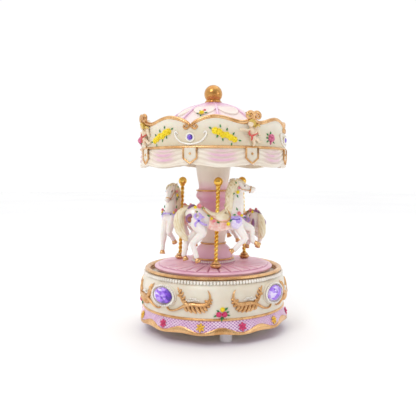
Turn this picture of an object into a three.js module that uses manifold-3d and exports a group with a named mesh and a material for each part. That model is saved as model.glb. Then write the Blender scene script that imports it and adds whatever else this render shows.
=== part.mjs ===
// A wind-up carousel music box of painted cast resin: a bulged drum on three pegs holds a comb-and-cylinder
// movement, and its spring barrel turns a disc with three horses, a turned column and a scalloped canopy.
// Millimetres, +Z up. The origin is on the floor, under the vertical axis, and the front of the drum faces -Y.
import * as THREE from "three";
import { mergeVertices } from "three/addons/utils/BufferGeometryUtils.js";
import Module from "manifold-3d";

const wasm = await Module();
wasm.setup();

// ---- Driving dimensions ------------------------------------------------------------------------------------

const GAP = 0.3; // between pieces that touch

// Drum
const drum = {
  footHeight: 9.6, // from the floor to the underside of the bottom plate
  wellFloorTop: 41.8,
  roofThickness: 3.8,
  rimTop: 46.4,
  rimRadius: 51.6,
  bulgeRadius: 54.2,
  skirtRadius: 55.6,
  skirtBottom: 8,
  goldLineHeight: 17.9,
  goldLineRadius: 53.6,
  cavityRadius: 44.5,
  wellRadius: 47.8,
  shaftHoleRadius: 6,
  lobes: 12, // scallops of the skirt
  lobeDrop: 0.5,
  lobeFlare: 0.5,
};
const plate = { radius: 48.7, thickness: 2.4, screwCircle: 46.6, screws: 3, screwAngle: 36 };
const foot = { radius: 4.4, circle: 42, count: 3, angle: 6, studRadius: 2, studLength: 5 };
const screw = { radius: 1.1, headRadius: 2.1, headHeight: 1.2 };
const drumGem = { width: 17.4, height: 11.2, depth: 4.2, level: 32.4, count: 4, sides: 12 };

// Turning disc and column
const disc = { radius: 44.7, top: 49.3, thickness: 4.1, edge: 1.2 };
const flange = { radius: 14, thickness: 2.2, hubRadius: 5.2, hubLength: 3 };
const tie = { radius: 1.6, headAcross: 5.4, headHeight: 1.9, nutHeight: 2.4 };
const column = { footRadius: 17.2, waistLevel: 63.4, topRadius: 13.4 };

// Horses on their poles
const poleRing = { radius: 29.4, count: 3, angle: -2.8 };
const pole = { radius: 1.4, knobRadius: 3, knobLevel: 110.4, seat: 3 };
const collar = { radius: 3.6, neckRadius: 2.3, height: 4.2 };

// Canopy
const canopy = {
  ceiling: 124,
  ceilingThickness: 3,
  radius: 54,
  ringRadius: 54.9,
  ringLevel: 133.8,
  wall: 4,
  hemLevel: 121.4,
  hemDrop: 0.9,
  ledge: 143.2,
  crestLevel: 153.8,
  dipLevel: 148.1,
  scrollLevel: 155,
  bays: 4, // one gem and one cherub in each bay
  bayAngle: -22.5, // the first gem
};
const dome = { top: 169, wall: 2.4, collarRadius: 6.2, collarHeight: 2.2, ballRadius: 6.8, ballSink: 2.9 };
const canopyGem = { radius: 1.9, depth: 1.5, level: 140.1, sides: 8 };
const cherub = { level: 142 };

// Musical movement
const bed = { thickness: 2.5, left: -15.5, right: 36.8, front: -20, back: 20, corner: 6 };
const barrel = { radius: 11.6, wall: 1, height: 9.9, floor: 1.2 };
const arbor = { radius: 1.5, coreRadius: 2.6 };
const key = { span: 22, thickness: 1.8, height: 6.6, hubRadius: 3, lift: 1.9 };
const contrate = { teeth: 48, radius: 13.25, face: 2.4, plate: 1.65, shaftRadius: 3 };
const cylinder = { teeth: 12, radius: 5.9, pin: 0.4, left: 17.5, length: 17, axle: 1, level: 21.6 };
const train = { module: 0.5, wheelTeeth: 32, pinionTeeth: 10, wormWheelTeeth: 14, thickness: 1.2 };
const worm = { pitchRadius: 1.4, length: 4.6, x: 32 };
const fan = { radius: 4.5, height: 5, thickness: 0.6, bottom: 27 };
const comb = { teeth: 18, thickness: 0.8, toothLength: 8.5, heel: 4.3, toothShare: 0.62 };
const bracket = { thickness: 1.3, top: 25.6 };

// ---- Colours -----------------------------------------------------------------------------------------------

const paint = (color, roughness = 0.45, metalness = 0) =>
  new THREE.MeshStandardMaterial({ color, roughness, metalness });
const CREAM = paint(0xe9e0cf);
const GOLD = paint(0xc88a45, 0.35, 0.6);
const BRASS = paint(0xd9a93a, 0.25, 1);
const PINK = paint(0xe0b3c4);
const MAUVE = paint(0xc890a6);
const WHITE = paint(0xf3ece6);
const BLUSH = paint(0xf3d6dc);
const GEM = paint(0x7a35c8, 0.08);
const PLASTIC = paint(0xf2f2f0, 0.4);
const BOARD = paint(0xd9c7a8, 0.7);
const STEEL = paint(0x9aa0a6, 0.35, 1);
const ZINC = paint(0xb9bcc0, 0.45, 0.9);

// ---- Solids ------------------------------------------------------------------------------------------------

const TAU = Math.PI * 2;
const rad = THREE.MathUtils.degToRad;

/** A closed three.js geometry as a solid whose faces point out. */
function solid(geometry) {
  const bare = new THREE.BufferGeometry().setAttribute("position", geometry.getAttribute("position").clone());
  if (geometry.index) bare.setIndex(geometry.index.clone());
  const merged = mergeVertices(bare, 1e-3);
  const vertProperties = merged.attributes.position.array;
  const triVerts = new Uint32Array(merged.index.array);
  const made = new wasm.Manifold(new wasm.Mesh({ numProp: 3, vertProperties, triVerts }));
  if (made.volume() > 0) return made;
  return new wasm.Manifold(new wasm.Mesh({ numProp: 3, vertProperties, triVerts: triVerts.reverse() }));
}

/** A solid's triangles as a three.js geometry. */
function geometryOf(made) {
  const { numProp, numVert, vertProperties, triVerts } = made.getMesh();
  const position = new Float32Array(numVert * 3);
  for (let i = 0; i < numVert; i++) position.set(vertProperties.subarray(i * numProp, i * numProp + 3), i * 3);
  return new THREE.BufferGeometry()
    .setAttribute("position", new THREE.BufferAttribute(position, 3))
    .setIndex(new THREE.BufferAttribute(triVerts, 1));
}

/** A ring or disc turned about +Z from its outline of [radius, height] points. */
function turned(outline, segments = 24, startAngle = 0) {
  const points = outline.map(([r, z]) => new THREE.Vector2(r, z));
  const first = outline[0];
  if (first[0] > 0 || outline.at(-1)[0] > 0) points.push(new THREE.Vector2(...first));
  return new THREE.LatheGeometry(points, segments, startAngle).rotateX(Math.PI / 2);
}

/** A flat outline in X and Y, drawn upwards by height from level bottom. */
function raised(points, bottom, height, holes = []) {
  const shape = new THREE.Shape(points.map(([x, y]) => new THREE.Vector2(x, y)));
  for (const hole of holes) shape.holes.push(new THREE.Path(hole.map(([x, y]) => new THREE.Vector2(x, y))));
  return new THREE.ExtrudeGeometry(shape, { depth: height, bevelEnabled: false }).translate(0, 0, bottom);
}

const box = (x0, x1, y0, y1, z0, z1) =>
  new THREE.BoxGeometry(x1 - x0, y1 - y0, z1 - z0).translate((x0 + x1) / 2, (y0 + y1) / 2, (z0 + z1) / 2);

/** An upright rod. */
const rod = (radius, bottom, top, sides = 16, x = 0, y = 0) =>
  new THREE.CylinderGeometry(radius, radius, top - bottom, sides)
    .rotateX(Math.PI / 2)
    .translate(x, y, (bottom + top) / 2);

/** A rod along X. */
const crossRod = (radius, left, right, y, z, sides = 12) =>
  new THREE.CylinderGeometry(radius, radius, right - left, sides)
    .rotateZ(Math.PI / 2)
    .translate((left + right) / 2, y, z);

/** Points of a circle, for outlines and holes. */
const circle = (radius, sides, x = 0, y = 0) =>
  Array.from({ length: sides }, (_, i) => [
    x + radius * Math.cos((TAU * i) / sides),
    y + radius * Math.sin((TAU * i) / sides),
  ]);

const ball = ([x, y, z], [a, b, c], sides = 10, rings = 6) =>
  new THREE.SphereGeometry(1, sides, rings).rotateX(Math.PI / 2).scale(a, b, c).translate(x, y, z);

/** A round tapered limb from one point to another. */
function limb(from, to, fromRadius, toRadius, sides = 8) {
  const a = new THREE.Vector3(...from);
  const b = new THREE.Vector3(...to);
  const along = b.clone().sub(a);
  const turn = new THREE.Quaternion().setFromUnitVectors(new THREE.Vector3(0, 1, 0), along.clone().normalize());
  return new THREE.CylinderGeometry(toRadius, fromRadius, along.length(), sides)
    .applyQuaternion(turn)
    .translate((a.x + b.x) / 2, (a.y + b.y) / 2, (a.z + b.z) / 2);
}

/** A skin drawn through upright rings: each station is [x, y, z, half width in Y, half depth across its path]. */
function skin(stations, sides = 8) {
  const position = [];
  const last = stations.length - 1;
  stations.forEach(([x, y, z, wide, deep], i) => {
    const [before, after] = [stations[Math.max(0, i - 1)], stations[Math.min(last, i + 1)]];
    const [dx, dz] = [after[0] - before[0], after[2] - before[2]];
    const length = Math.hypot(dx, dz);
    for (let k = 0; k < sides; k++) {
      const [across, over] = [wide * Math.cos((TAU * k) / sides), deep * Math.sin((TAU * k) / sides)];
      position.push(x - (over * dz) / length, y + across, z + (over * dx) / length);
    }
  });
  const faces = [];
  for (let i = 0; i < last; i++)
    for (let k = 0; k < sides; k++) {
      const [p, q] = [i * sides + k, i * sides + ((k + 1) % sides)];
      faces.push(p, q, p + sides, q, q + sides, p + sides);
    }
  for (let k = 1; k < sides - 1; k++) {
    faces.push(0, k + 1, k);
    faces.push(last * sides, last * sides + k, last * sides + k + 1);
  }
  return new THREE.BufferGeometry()
    .setAttribute("position", new THREE.Float32BufferAttribute(position, 3))
    .setIndex(faces);
}

const joined = (...geometries) => geometries.map(solid).reduce((a, b) => a.add(b));
const cut = (made, ...geometries) => geometries.reduce((a, g) => a.subtract(solid(g)), made);

/** Moves each vertex of a geometry by a rule of its angle from the front, radius and height. */
function reshape(geometry, rule) {
  const at = geometry.getAttribute("position");
  for (let i = 0; i < at.count; i++) {
    const [x, y, z] = [at.getX(i), at.getY(i), at.getZ(i)];
    const radius = Math.hypot(x, y);
    const angle = Math.atan2(x, -y);
    const [newRadius, newZ] = rule(angle, radius, z);
    at.setXYZ(i, newRadius * Math.sin(angle), -newRadius * Math.cos(angle), newZ);
  }
  return geometry;
}

/** A point at an angle from the front, turning towards +X. */
const around = (radius, degrees) => [radius * Math.sin(rad(degrees)), -radius * Math.cos(rad(degrees))];

/** Turns a geometry made at the front (-Y) to another angle. */
const toAngle = (geometry, degrees) => geometry.rotateZ(rad(degrees));

const involute = (angle) => Math.tan(angle) - angle;

/** Outline of an involute spur gear, one tooth centred on +X turned by turn radians. */
function gearOutline(teeth, module, turn = 0, play = 0.16) {
  const pressure = rad(20);
  const pitch = (module * teeth) / 2;
  const base = pitch * Math.cos(pressure);
  const radii = [pitch - 1.2 * module, pitch, pitch + 0.75 * module];
  const half = (radius) =>
    (Math.PI / 2 / teeth) * (1 - play) + involute(pressure) - involute(Math.acos(Math.min(1, base / radius)));
  const flank = radii.map((radius) => [radius, half(Math.max(radius, base))]);
  const points = [];
  for (let tooth = 0; tooth < teeth; tooth++) {
    const middle = turn + (TAU * tooth) / teeth;
    for (const [radius, angle] of flank)
      points.push([radius * Math.cos(middle - angle), radius * Math.sin(middle - angle)]);
    for (const [radius, angle] of [...flank].reverse())
      points.push([radius * Math.cos(middle + angle), radius * Math.sin(middle + angle)]);
  }
  return points;
}

/** A spur gear on an axis along X. turn places a tooth at that angle from +Y towards +Z. */
function crossGear(teeth, module, left, right, y, z, turn) {
  return raised(gearOutline(teeth, module, turn), 0, right - left)
    .rotateY(Math.PI / 2)
    .rotateX(Math.PI / 2)
    .translate(left, y, z);
}

const root = new THREE.Group();

/** Adds one named piece. */
function piece(name, made, material, parent = root) {
  const mesh = new THREE.Mesh(made instanceof THREE.BufferGeometry ? made : geometryOf(made), material);
  mesh.name = name;
  parent.add(mesh);
  return mesh;
}

// ---- Drum, feet and jewels ---------------------------------------------------------------------------------

const plateTop = drum.footHeight + plate.thickness;
const ledgeLevel = plateTop + GAP;

function drumShell() {
  const gold = drum.goldLineHeight;
  const rebate = plate.radius + GAP;
  const outline = [
    [rebate, ledgeLevel],
    [rebate, drum.skirtBottom],
    [drum.skirtRadius - 0.3, drum.skirtBottom],
    [drum.skirtRadius, drum.skirtBottom + 2],
    [drum.goldLineRadius - 0.4, gold - 1.4],
    [drum.goldLineRadius + 0.6, gold],
    [drum.goldLineRadius - 0.4, gold + 1.4],
    [drum.bulgeRadius - 0.5, gold + 8],
    [drum.bulgeRadius, gold + 14],
    [drum.bulgeRadius - 1, gold + 20],
    [drum.rimRadius - 0.5, gold + 23.4],
    [drum.rimRadius - 0.6, drum.rimTop - 3.1],
    [drum.rimRadius, drum.rimTop - 2.2],
    [drum.rimRadius - 0.4, drum.rimTop - 0.6],
    [drum.rimRadius - 1.8, drum.rimTop],
    [drum.wellRadius, drum.rimTop - 0.8],
    [drum.wellRadius, drum.wellFloorTop],
    [drum.shaftHoleRadius, drum.wellFloorTop],
    [drum.shaftHoleRadius, drum.wellFloorTop - drum.roofThickness],
    [drum.cavityRadius, drum.wellFloorTop - drum.roofThickness],
    [drum.cavityRadius, ledgeLevel],
  ];
  const lobed = reshape(turned(outline, 4 * drum.lobes), (angle, radius, z) => {
    if (radius < drum.skirtRadius - 2 || z > drum.skirtBottom + 3) return [radius, z];
    const wave = Math.cos(drum.lobes * (angle - rad(180 / drum.lobes)));
    return [radius + drum.lobeFlare * wave, z - drum.lobeDrop * wave];
  });
  return cut(
    solid(lobed),
    ...plateScrewPlaces().map(([x, y]) => rod(screw.radius + GAP, ledgeLevel - 1, ledgeLevel + 8, 10, x, y)),
  );
}

const plateScrewPlaces = () =>
  Array.from({ length: plate.screws }, (_, i) =>
    around(plate.screwCircle, plate.screwAngle + (360 / plate.screws) * i),
  );
const footPlaces = () =>
  Array.from({ length: foot.count }, (_, i) => around(foot.circle, foot.angle + (360 / foot.count) * i));
const bedScrewPlaces = () => [
  [bed.left + 5, bed.front + 5],
  [bed.left + 5, bed.back - 5],
  [bed.right - 5, bed.front + 5],
];

/** A round-headed screw with its head at the bottom. */
function upwardScrew(x, y, seat, top) {
  return solid(
    turned(
      [
        [0, seat - screw.headHeight],
        [screw.headRadius - 0.5, seat - screw.headHeight],
        [screw.headRadius, seat - 0.3],
        [screw.headRadius, seat],
        [screw.radius, seat],
        [screw.radius, top - 1],
        [0, top],
      ],
      8,
    ).translate(x, y, 0),
  );
}

function bottomPlate() {
  const keyhole = circle(arbor.coreRadius + 1, 16);
  const holes = [
    keyhole,
    ...plateScrewPlaces().map(([x, y]) => circle(screw.radius + GAP, 8, x, y)),
    ...bedScrewPlaces().map(([x, y]) => circle(screw.radius + GAP, 8, x, y)),
    ...footPlaces().map(([x, y]) => circle(foot.studRadius + GAP, 10, x, y)),
  ];
  return raised(circle(plate.radius, 48), drum.footHeight, plate.thickness, holes);
}

function peg(x, y) {
  const shoulder = drum.footHeight - GAP;
  return solid(
    turned(
      [
        [0, 0],
        [foot.radius - 0.6, 0],
        [foot.radius, 0.6],
        [foot.radius, shoulder],
        [foot.studRadius, shoulder],
        [foot.studRadius, shoulder + foot.studLength],
        [0, shoulder + foot.studLength],
      ],
      12,
    ).translate(x, y, 0),
  );
}

/** An oval faceted stone whose flat back stands on the drum's bulge. */
function ovalStone(width, height, depth, sides) {
  const ring = (share, z) =>
    Array.from({ length: sides }, (_, i) => [
      (width / 2) * share * Math.cos((TAU * i) / sides),
      (height / 2) * share * Math.sin((TAU * i) / sides),
      z,
    ]);
  const rings = [ring(0.94, 0), ring(1, depth * 0.35), ring(0.72, depth * 0.8), ring(0.4, depth)];
  const points = [[0, 0, 0], ...rings.flat(), [0, 0, depth]];
  const faces = [];
  const last = points.length - 1;
  for (let i = 0; i < sides; i++) {
    const next = (i + 1) % sides;
    faces.push(0, 1 + next, 1 + i);
    for (let level = 0; level < rings.length - 1; level++) {
      const [low, high] = [1 + level * sides, 1 + (level + 1) * sides];
      faces.push(low + i, low + next, high + i, low + next, high + next, high + i);
    }
    const top = 1 + (rings.length - 1) * sides;
    faces.push(top + i, top + next, last);
  }
  return new THREE.BufferGeometry()
    .setAttribute("position", new THREE.Float32BufferAttribute(points.flat(), 3))
    .setIndex(faces)
    .rotateX(Math.PI / 2);
}

piece("base_shell", drumShell(), CREAM);
piece("bottom_plate", bottomPlate(), BOARD);
footPlaces().forEach(([x, y], i) => piece(["foot_front", "foot_right", "foot_left"][i], peg(x, y), PLASTIC));
plateScrewPlaces().forEach(([x, y], i) =>
  piece(`plate_screw_${i + 1}`, upwardScrew(x, y, drum.footHeight - GAP, ledgeLevel + 7), STEEL),
);
for (let i = 0; i < drumGem.count; i++) {
  const stone = ovalStone(drumGem.width, drumGem.height, drumGem.depth, drumGem.sides);
  stone.translate(0, -(drum.bulgeRadius + GAP), drumGem.level);
  piece(`base_gem_${i + 1}`, solid(toAngle(stone, -45 + (360 / drumGem.count) * i)), GEM);
}

// ---- Musical movement --------------------------------------------------------------------------------------

const bedBottom = plateTop + GAP;
const bedTop = bedBottom + bed.thickness;
const barrelBottom = bedTop + 0.5;
const barrelTop = barrelBottom + barrel.height;
const contrateModule = (2 * contrate.radius) / contrate.teeth;
const pitchLevel = cylinder.level + (contrateModule * cylinder.teeth) / 2;
const contrateTip = pitchLevel - 0.75 * contrateModule;
const contrateRoot = pitchLevel + 1.2 * contrateModule;
const wheelDistance = (train.module * (train.wheelTeeth + train.pinionTeeth)) / 2;
const axleY = wheelDistance;
const wormY = axleY + (train.module * train.wormWheelTeeth) / 2 + worm.pitchRadius;
const cylinderRight = cylinder.left + cylinder.length;
const rightBracketLeft = cylinderRight + 0.7;
const wheelLeft = rightBracketLeft + bracket.thickness + 0.7;
const shaftTop = disc.top - disc.thickness - 0.6;

function bedplate() {
  const outline = [
    [bed.left, bed.front + bed.corner],
    [bed.left + bed.corner, bed.front],
    [bed.right, bed.front],
    [bed.right, bed.back],
    [bed.left + bed.corner, bed.back],
    [bed.left, bed.back - bed.corner],
  ];
  const holes = [
    circle(arbor.radius + GAP, 12),
    ...bedScrewPlaces().map(([x, y]) => circle(screw.radius + GAP, 8, x, y)),
  ];
  return raised(outline, bedBottom, bed.thickness, holes);
}

function combPlate() {
  const pitch = cylinder.length / comb.teeth;
  const tip = -(cylinder.radius + cylinder.pin + GAP);
  const rootY = tip - comb.toothLength;
  const points = [
    [cylinder.left, rootY - comb.heel],
    [cylinderRight, rootY - comb.heel],
  ];
  for (let i = comb.teeth - 1; i >= 0; i--) {
    const middle = cylinder.left + pitch * (i + 0.5);
    const half = (pitch * comb.toothShare) / 2;
    points.push([middle + half, rootY], [middle + half, tip], [middle - half, tip], [middle - half, rootY]);
  }
  const screwHole = circle(screw.radius + GAP, 10, (cylinder.left + cylinderRight) / 2, rootY - comb.heel / 2);
  return raised(points, cylinder.level - comb.thickness / 2, comb.thickness, [screwHole]);
}

function combBlock() {
  const back = -(cylinder.radius + cylinder.pin + GAP) - comb.toothLength - comb.heel;
  const top = cylinder.level - comb.thickness / 2 - GAP;
  const block = solid(box(cylinder.left, cylinderRight, back, back + comb.heel, bedTop + GAP, top));
  return cut(
    block,
    rod(screw.radius + GAP, top - 4, top + 1, 10, (cylinder.left + cylinderRight) / 2, back + comb.heel / 2),
  );
}

function combScrew() {
  const y = -(cylinder.radius + cylinder.pin + GAP) - comb.toothLength - comb.heel / 2;
  const seat = cylinder.level + comb.thickness / 2 + GAP;
  return upwardScrew(0, 0, 0, 5)
    .rotate([180, 0, 0])
    .translate([(cylinder.left + cylinderRight) / 2, y, seat]);
}

function springBarrel() {
  const inner = barrel.radius - barrel.wall;
  return turned(
    [
      [arbor.radius + GAP, barrelBottom],
      [barrel.radius, barrelBottom],
      [barrel.radius, barrelTop],
      [inner, barrelTop],
      [inner, barrelBottom + barrel.floor],
      [arbor.radius + GAP, barrelBottom + barrel.floor],
    ],
    32,
  );
}

/** The barrel's cover: crown teeth below its edge, and the upright shaft that carries the turning disc. */
function driveGear() {
  const outer = contrate.radius + contrate.face / 2;
  const top = contrateRoot + contrate.plate;
  let made = solid(
    turned(
      [
        [arbor.radius + GAP, contrateRoot],
        [outer, contrateRoot],
        [outer, top],
        [contrate.shaftRadius + 1.5, top],
        [contrate.shaftRadius, top + 1.5],
        [contrate.shaftRadius, shaftTop],
        [0, shaftTop],
        [0, top + 1],
        [arbor.radius + GAP, top + 1],
      ],
      32,
    ),
  );
  const pitch = (TAU * contrate.radius) / contrate.teeth;
  for (let i = 0; i < contrate.teeth; i++) {
    const tooth = raised(
      [
        [-pitch * 0.2, contrateRoot + 0.2],
        [-pitch * 0.08, contrateTip],
        [pitch * 0.08, contrateTip],
        [pitch * 0.2, contrateRoot + 0.2],
      ],
      -contrate.face / 2,
      contrate.face - 0.05,
    )
      .rotateX(Math.PI / 2)
      .translate(0, contrate.radius, 0)
      .rotateZ(-Math.PI / 2 + (TAU * i) / contrate.teeth);
    made = made.add(solid(tooth));
  }
  return made;
}

/** A flat steel ribbon wound from the arbor's core out to the barrel's wall. */
function mainspring() {
  const inner = arbor.coreRadius + 0.6;
  const outer = barrel.radius - barrel.wall - 0.6;
  const turns = 4;
  const steps = turns * 14;
  const ribbon = 0.35;
  const points = [];
  for (const [side, order] of [
    [0, 1],
    [ribbon, -1],
  ])
    for (let k = 0; k <= steps; k++) {
      const i = order > 0 ? k : steps - k;
      const radius = inner + ((outer - ribbon - inner) * i) / steps + side;
      const angle = (TAU * turns * i) / steps;
      points.push([radius * Math.cos(angle), radius * Math.sin(angle)]);
    }
  const bottom = barrelBottom + barrel.floor + GAP;
  return raised(points, bottom, barrelTop - bottom - GAP);
}

function windingArbor() {
  const core = barrelBottom + barrel.floor + GAP;
  return turned(
    [
      [0, key.lift + 2],
      [arbor.radius, key.lift + 2],
      [arbor.radius, core],
      [arbor.coreRadius, core],
      [arbor.coreRadius, barrelTop - GAP],
      [arbor.radius, barrelTop - GAP],
      [arbor.radius, contrateRoot + contrate.plate + 0.6],
      [0, contrateRoot + contrate.plate + 0.6],
    ],
    12,
  );
}

function windingKey() {
  const half = key.span / 2;
  const wing = new THREE.Shape();
  wing.moveTo(-half + 2, 0);
  wing.lineTo(-1, 1.6);
  wing.lineTo(1, 1.6);
  wing.lineTo(half - 2, 0);
  wing.absarc(half - 2, key.height / 2, key.height / 2, -Math.PI / 2, Math.PI / 2);
  wing.lineTo(1, key.height - 1.2);
  wing.lineTo(-1, key.height - 1.2);
  wing.lineTo(-half + 2, key.height);
  wing.absarc(-half + 2, key.height / 2, key.height / 2, Math.PI / 2, (3 * Math.PI) / 2);
  const wings = new THREE.ExtrudeGeometry(wing, { depth: key.thickness, bevelEnabled: false, curveSegments: 5 })
    .rotateX(Math.PI / 2)
    .translate(0, key.thickness / 2, key.lift);
  const hub = rod(key.hubRadius, key.lift, key.lift + key.height, 16);
  return cut(joined(wings, hub), rod(arbor.radius + GAP, key.lift + 1, key.lift + 20, 12));
}

/** Pinned cylinder with its pinion at the left and its wheel at the right, all on one axle along X. */
function pinCylinder() {
  const { left, level } = cylinder;
  const pinionLeft = contrate.radius - contrate.face / 2 + 0.1;
  let made = joined(
    crossRod(cylinder.radius, left, cylinderRight, 0, level, 24),
    crossRod(cylinder.axle, pinionLeft, wheelLeft + train.thickness + 0.4, 0, level, 10),
    crossGear(cylinder.teeth, contrateModule, pinionLeft, contrate.radius + contrate.face / 2, 0, level,
      Math.PI / cylinder.teeth),
    crossGear(train.wheelTeeth, train.module, wheelLeft, wheelLeft + train.thickness, 0, level, 0),
  );
  const pitch = cylinder.length / comb.teeth;
  for (let i = 0; i < comb.teeth; i++)
    for (let k = 0; k < 2; k++) {
      const angle = TAU * ((i * 7 + k * 11) / 23 + 0.02);
      const radius = cylinder.radius + cylinder.pin - 0.6;
      const pin = new THREE.ConeGeometry(0.34, 1.2, 4)
        .translate(0, radius, 0)
        .rotateX(angle)
        .translate(left + pitch * (i + 0.5), 0, level);
      made = made.add(solid(pin));
    }
  return made;
}

function governorWheel() {
  const { level } = cylinder;
  const left = worm.x - 5.6;
  return joined(
    crossRod(cylinder.axle * 0.8, left, wheelLeft + train.thickness + 0.4, axleY, level, 10),
    crossGear(train.pinionTeeth, train.module, wheelLeft - 0.1, wheelLeft + train.thickness + 0.1, axleY, level,
      Math.PI / train.pinionTeeth + Math.PI),
    crossGear(train.wormWheelTeeth, train.module, worm.x - 0.6, worm.x + 0.6, axleY, level, 0),
  );
}

/** The endless screw and its two-bladed air brake, on one upright spindle. */
function governorFan() {
  const lead = Math.PI * train.module;
  const steps = 12;
  const turns = worm.length / lead;
  const count = Math.round(turns * steps);
  const thin = 0.16 * lead;
  const thick = 0.34 * lead;
  const rootRadius = worm.pitchRadius - 0.6;
  const tipRadius = worm.pitchRadius + 0.3;
  const position = [];
  for (let i = 0; i <= count; i++) {
    const angle = (TAU * i) / steps;
    const middle = (lead * (i - count / 2)) / steps;
    for (const [radius, half] of [
      [rootRadius - 0.15, -thick],
      [tipRadius, -thin],
      [tipRadius, thin],
      [rootRadius - 0.15, thick],
    ])
      position.push(radius * Math.cos(angle), radius * Math.sin(angle), middle + half);
  }
  const faces = [0, 1, 2, 0, 2, 3];
  for (let i = 0; i < count; i++)
    for (let k = 0; k < 4; k++) {
      const [a, b] = [4 * i + k, 4 * i + ((k + 1) % 4)];
      faces.push(a, a + 4, b, b, a + 4, b + 4);
    }
  const end = 4 * count;
  faces.push(end, end + 2, end + 1, end, end + 3, end + 2);
  const thread = new THREE.BufferGeometry()
    .setAttribute("position", new THREE.Float32BufferAttribute(position, 3))
    .setIndex(faces)
    .rotateZ(-Math.PI / 2 + Math.PI - (TAU * ((count / 2) % steps)) / steps)
    .translate(0, 0, cylinder.level);
  const made = joined(
    rod(rootRadius, cylinder.level - worm.length / 2 - 0.6, cylinder.level + worm.length / 2 + 0.6, 10),
    thread,
    rod(0.5, bedTop + 1.1, fan.bottom + fan.height + 1.6, 8),
    box(-fan.radius, fan.radius, -fan.thickness / 2, fan.thickness / 2, fan.bottom, fan.bottom + fan.height),
  );
  return made.translate([worm.x, wormY, 0]);
}

function leftBracket() {
  const left = contrate.radius + contrate.face / 2 + 0.6;
  const plateSolid = solid(box(left, left + bracket.thickness, -3.2, 3.2, bedTop + GAP, bracket.top - 1));
  return cut(plateSolid, crossRod(cylinder.axle + GAP, left - 1, left + 3, 0, cylinder.level));
}

function rightBracket() {
  const left = rightBracketLeft;
  const plateSolid = solid(box(left, left + bracket.thickness, -3.2, axleY + 2.6, bedTop + GAP, bracket.top));
  return cut(
    plateSolid,
    crossRod(cylinder.axle + GAP, left - 1, left + 3, 0, cylinder.level),
    crossRod(cylinder.axle * 0.8 + GAP, left - 1, left + 3, axleY, cylinder.level),
  );
}

/** The governor's post, with a foot below the spindle and an arm above it. */
function governorFrame() {
  const right = worm.x - fan.radius - 0.6;
  const armTop = fan.bottom + fan.height + 2.4;
  const frame = joined(
    box(right - bracket.thickness, right, axleY - 2, wormY + 2.2, bedTop + GAP, armTop),
    box(right - 0.4, worm.x + 1.8, wormY - 1.8, wormY + 2.2, bedTop + GAP, bedTop + 1.9),
    box(right - 0.4, worm.x + 1.8, wormY - 1.8, wormY + 2.2, armTop - 1.5, armTop),
  );
  return cut(
    frame,
    crossRod(cylinder.axle * 0.8 + GAP, right - 3, right + 1, axleY, cylinder.level),
    rod(0.5 + GAP, bedTop + 0.8, armTop + 1, 8, worm.x, wormY),
  );
}

piece("bedplate", bedplate(), ZINC);
piece("comb_block", combBlock(), ZINC);
piece("comb", combPlate(), STEEL);
piece("comb_screw", combScrew(), STEEL);
piece("cylinder_bracket_left", leftBracket(), BRASS);
piece("cylinder_bracket_right", rightBracket(), BRASS);
piece("governor_frame", governorFrame(), ZINC);
bedScrewPlaces().forEach(([x, y], i) =>
  piece(`bed_screw_${i + 1}`, upwardScrew(x, y, drum.footHeight - GAP, bedTop), STEEL),
);
piece("winding_key", windingKey(), ZINC);
piece("winding_arbor", windingArbor(), STEEL);
piece("pin_cylinder", pinCylinder(), BRASS);
piece("governor_wheel", governorWheel(), BRASS);
piece("governor_fan", governorFan(), BRASS);
piece("spring_barrel", springBarrel(), BRASS);
piece("drive_gear", driveGear(), BRASS);
piece("mainspring", mainspring(), STEEL);

// ---- Turning disc and column -------------------------------------------------------------------------------

const discBottom = disc.top - disc.thickness;
const pocketTop = discBottom + tie.headHeight + GAP;
const columnTop = canopy.ceiling;
const ceilingTop = canopy.ceiling + canopy.ceilingThickness;
const polePlaces = () =>
  Array.from({ length: poleRing.count }, (_, i) =>
    around(poleRing.radius, poleRing.angle + (360 / poleRing.count) * i),
  );

function turningDisc() {
  const { radius, top, edge } = disc;
  const outline = [
    [0, discBottom],
    [radius - 1, discBottom],
    [radius, discBottom + 0.8],
    [radius, top - edge - 0.6],
    [radius - 0.8, top - edge],
    [radius - 15, top],
    [0, top],
  ];
  const seats = polePlaces().map(([x, y]) => rod(pole.radius + GAP, top - pole.seat - GAP, top + 1, 10, x, y));
  return cut(
    solid(turned(outline, 48)),
    rod(tie.radius + GAP, discBottom - 1, top + 1, 12),
    rod(tie.headAcross / Math.sqrt(3) + GAP, discBottom - 1, pocketTop, 6),
    ...seats,
  );
}

/** The metal flange under the disc, pressed on the drive shaft. */
function discFlange() {
  const top = discBottom - GAP;
  const bottom = top - flange.thickness;
  const bore = contrate.shaftRadius + GAP;
  return turned(
    [
      [bore, bottom - flange.hubLength],
      [flange.hubRadius, bottom - flange.hubLength],
      [flange.hubRadius, bottom],
      [flange.radius, bottom],
      [flange.radius, top],
      [bore, top],
    ],
    24,
  );
}

function tieRod() {
  const head = rod(tie.headAcross / Math.sqrt(3), discBottom, discBottom + tie.headHeight, 6);
  return joined(head, rod(tie.radius, discBottom + 0.5, ceilingTop + tie.nutHeight + 2, 12));
}

function tieNut() {
  const across = tie.headAcross / Math.sqrt(3);
  const nut = solid(rod(across, ceilingTop, ceilingTop + tie.nutHeight, 6));
  return cut(nut, rod(tie.radius + GAP, ceilingTop - 1, ceilingTop + 5, 12));
}

function columnLower() {
  const foot = disc.top;
  const { footRadius: r, waistLevel } = column;
  const bore = tie.radius + GAP;
  return turned(
    [
      [bore, foot],
      [r, foot],
      [r, foot + 1.8],
      [r - 1.6, foot + 2.4],
      [r - 1.9, foot + 3.7],
      [r - 4.2, foot + 9],
      [r - 6.4, waistLevel - 2],
      [r - 7.9, waistLevel - 0.9],
      [r - 7.9, waistLevel],
      [bore, waistLevel],
    ],
    24,
  );
}

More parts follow.
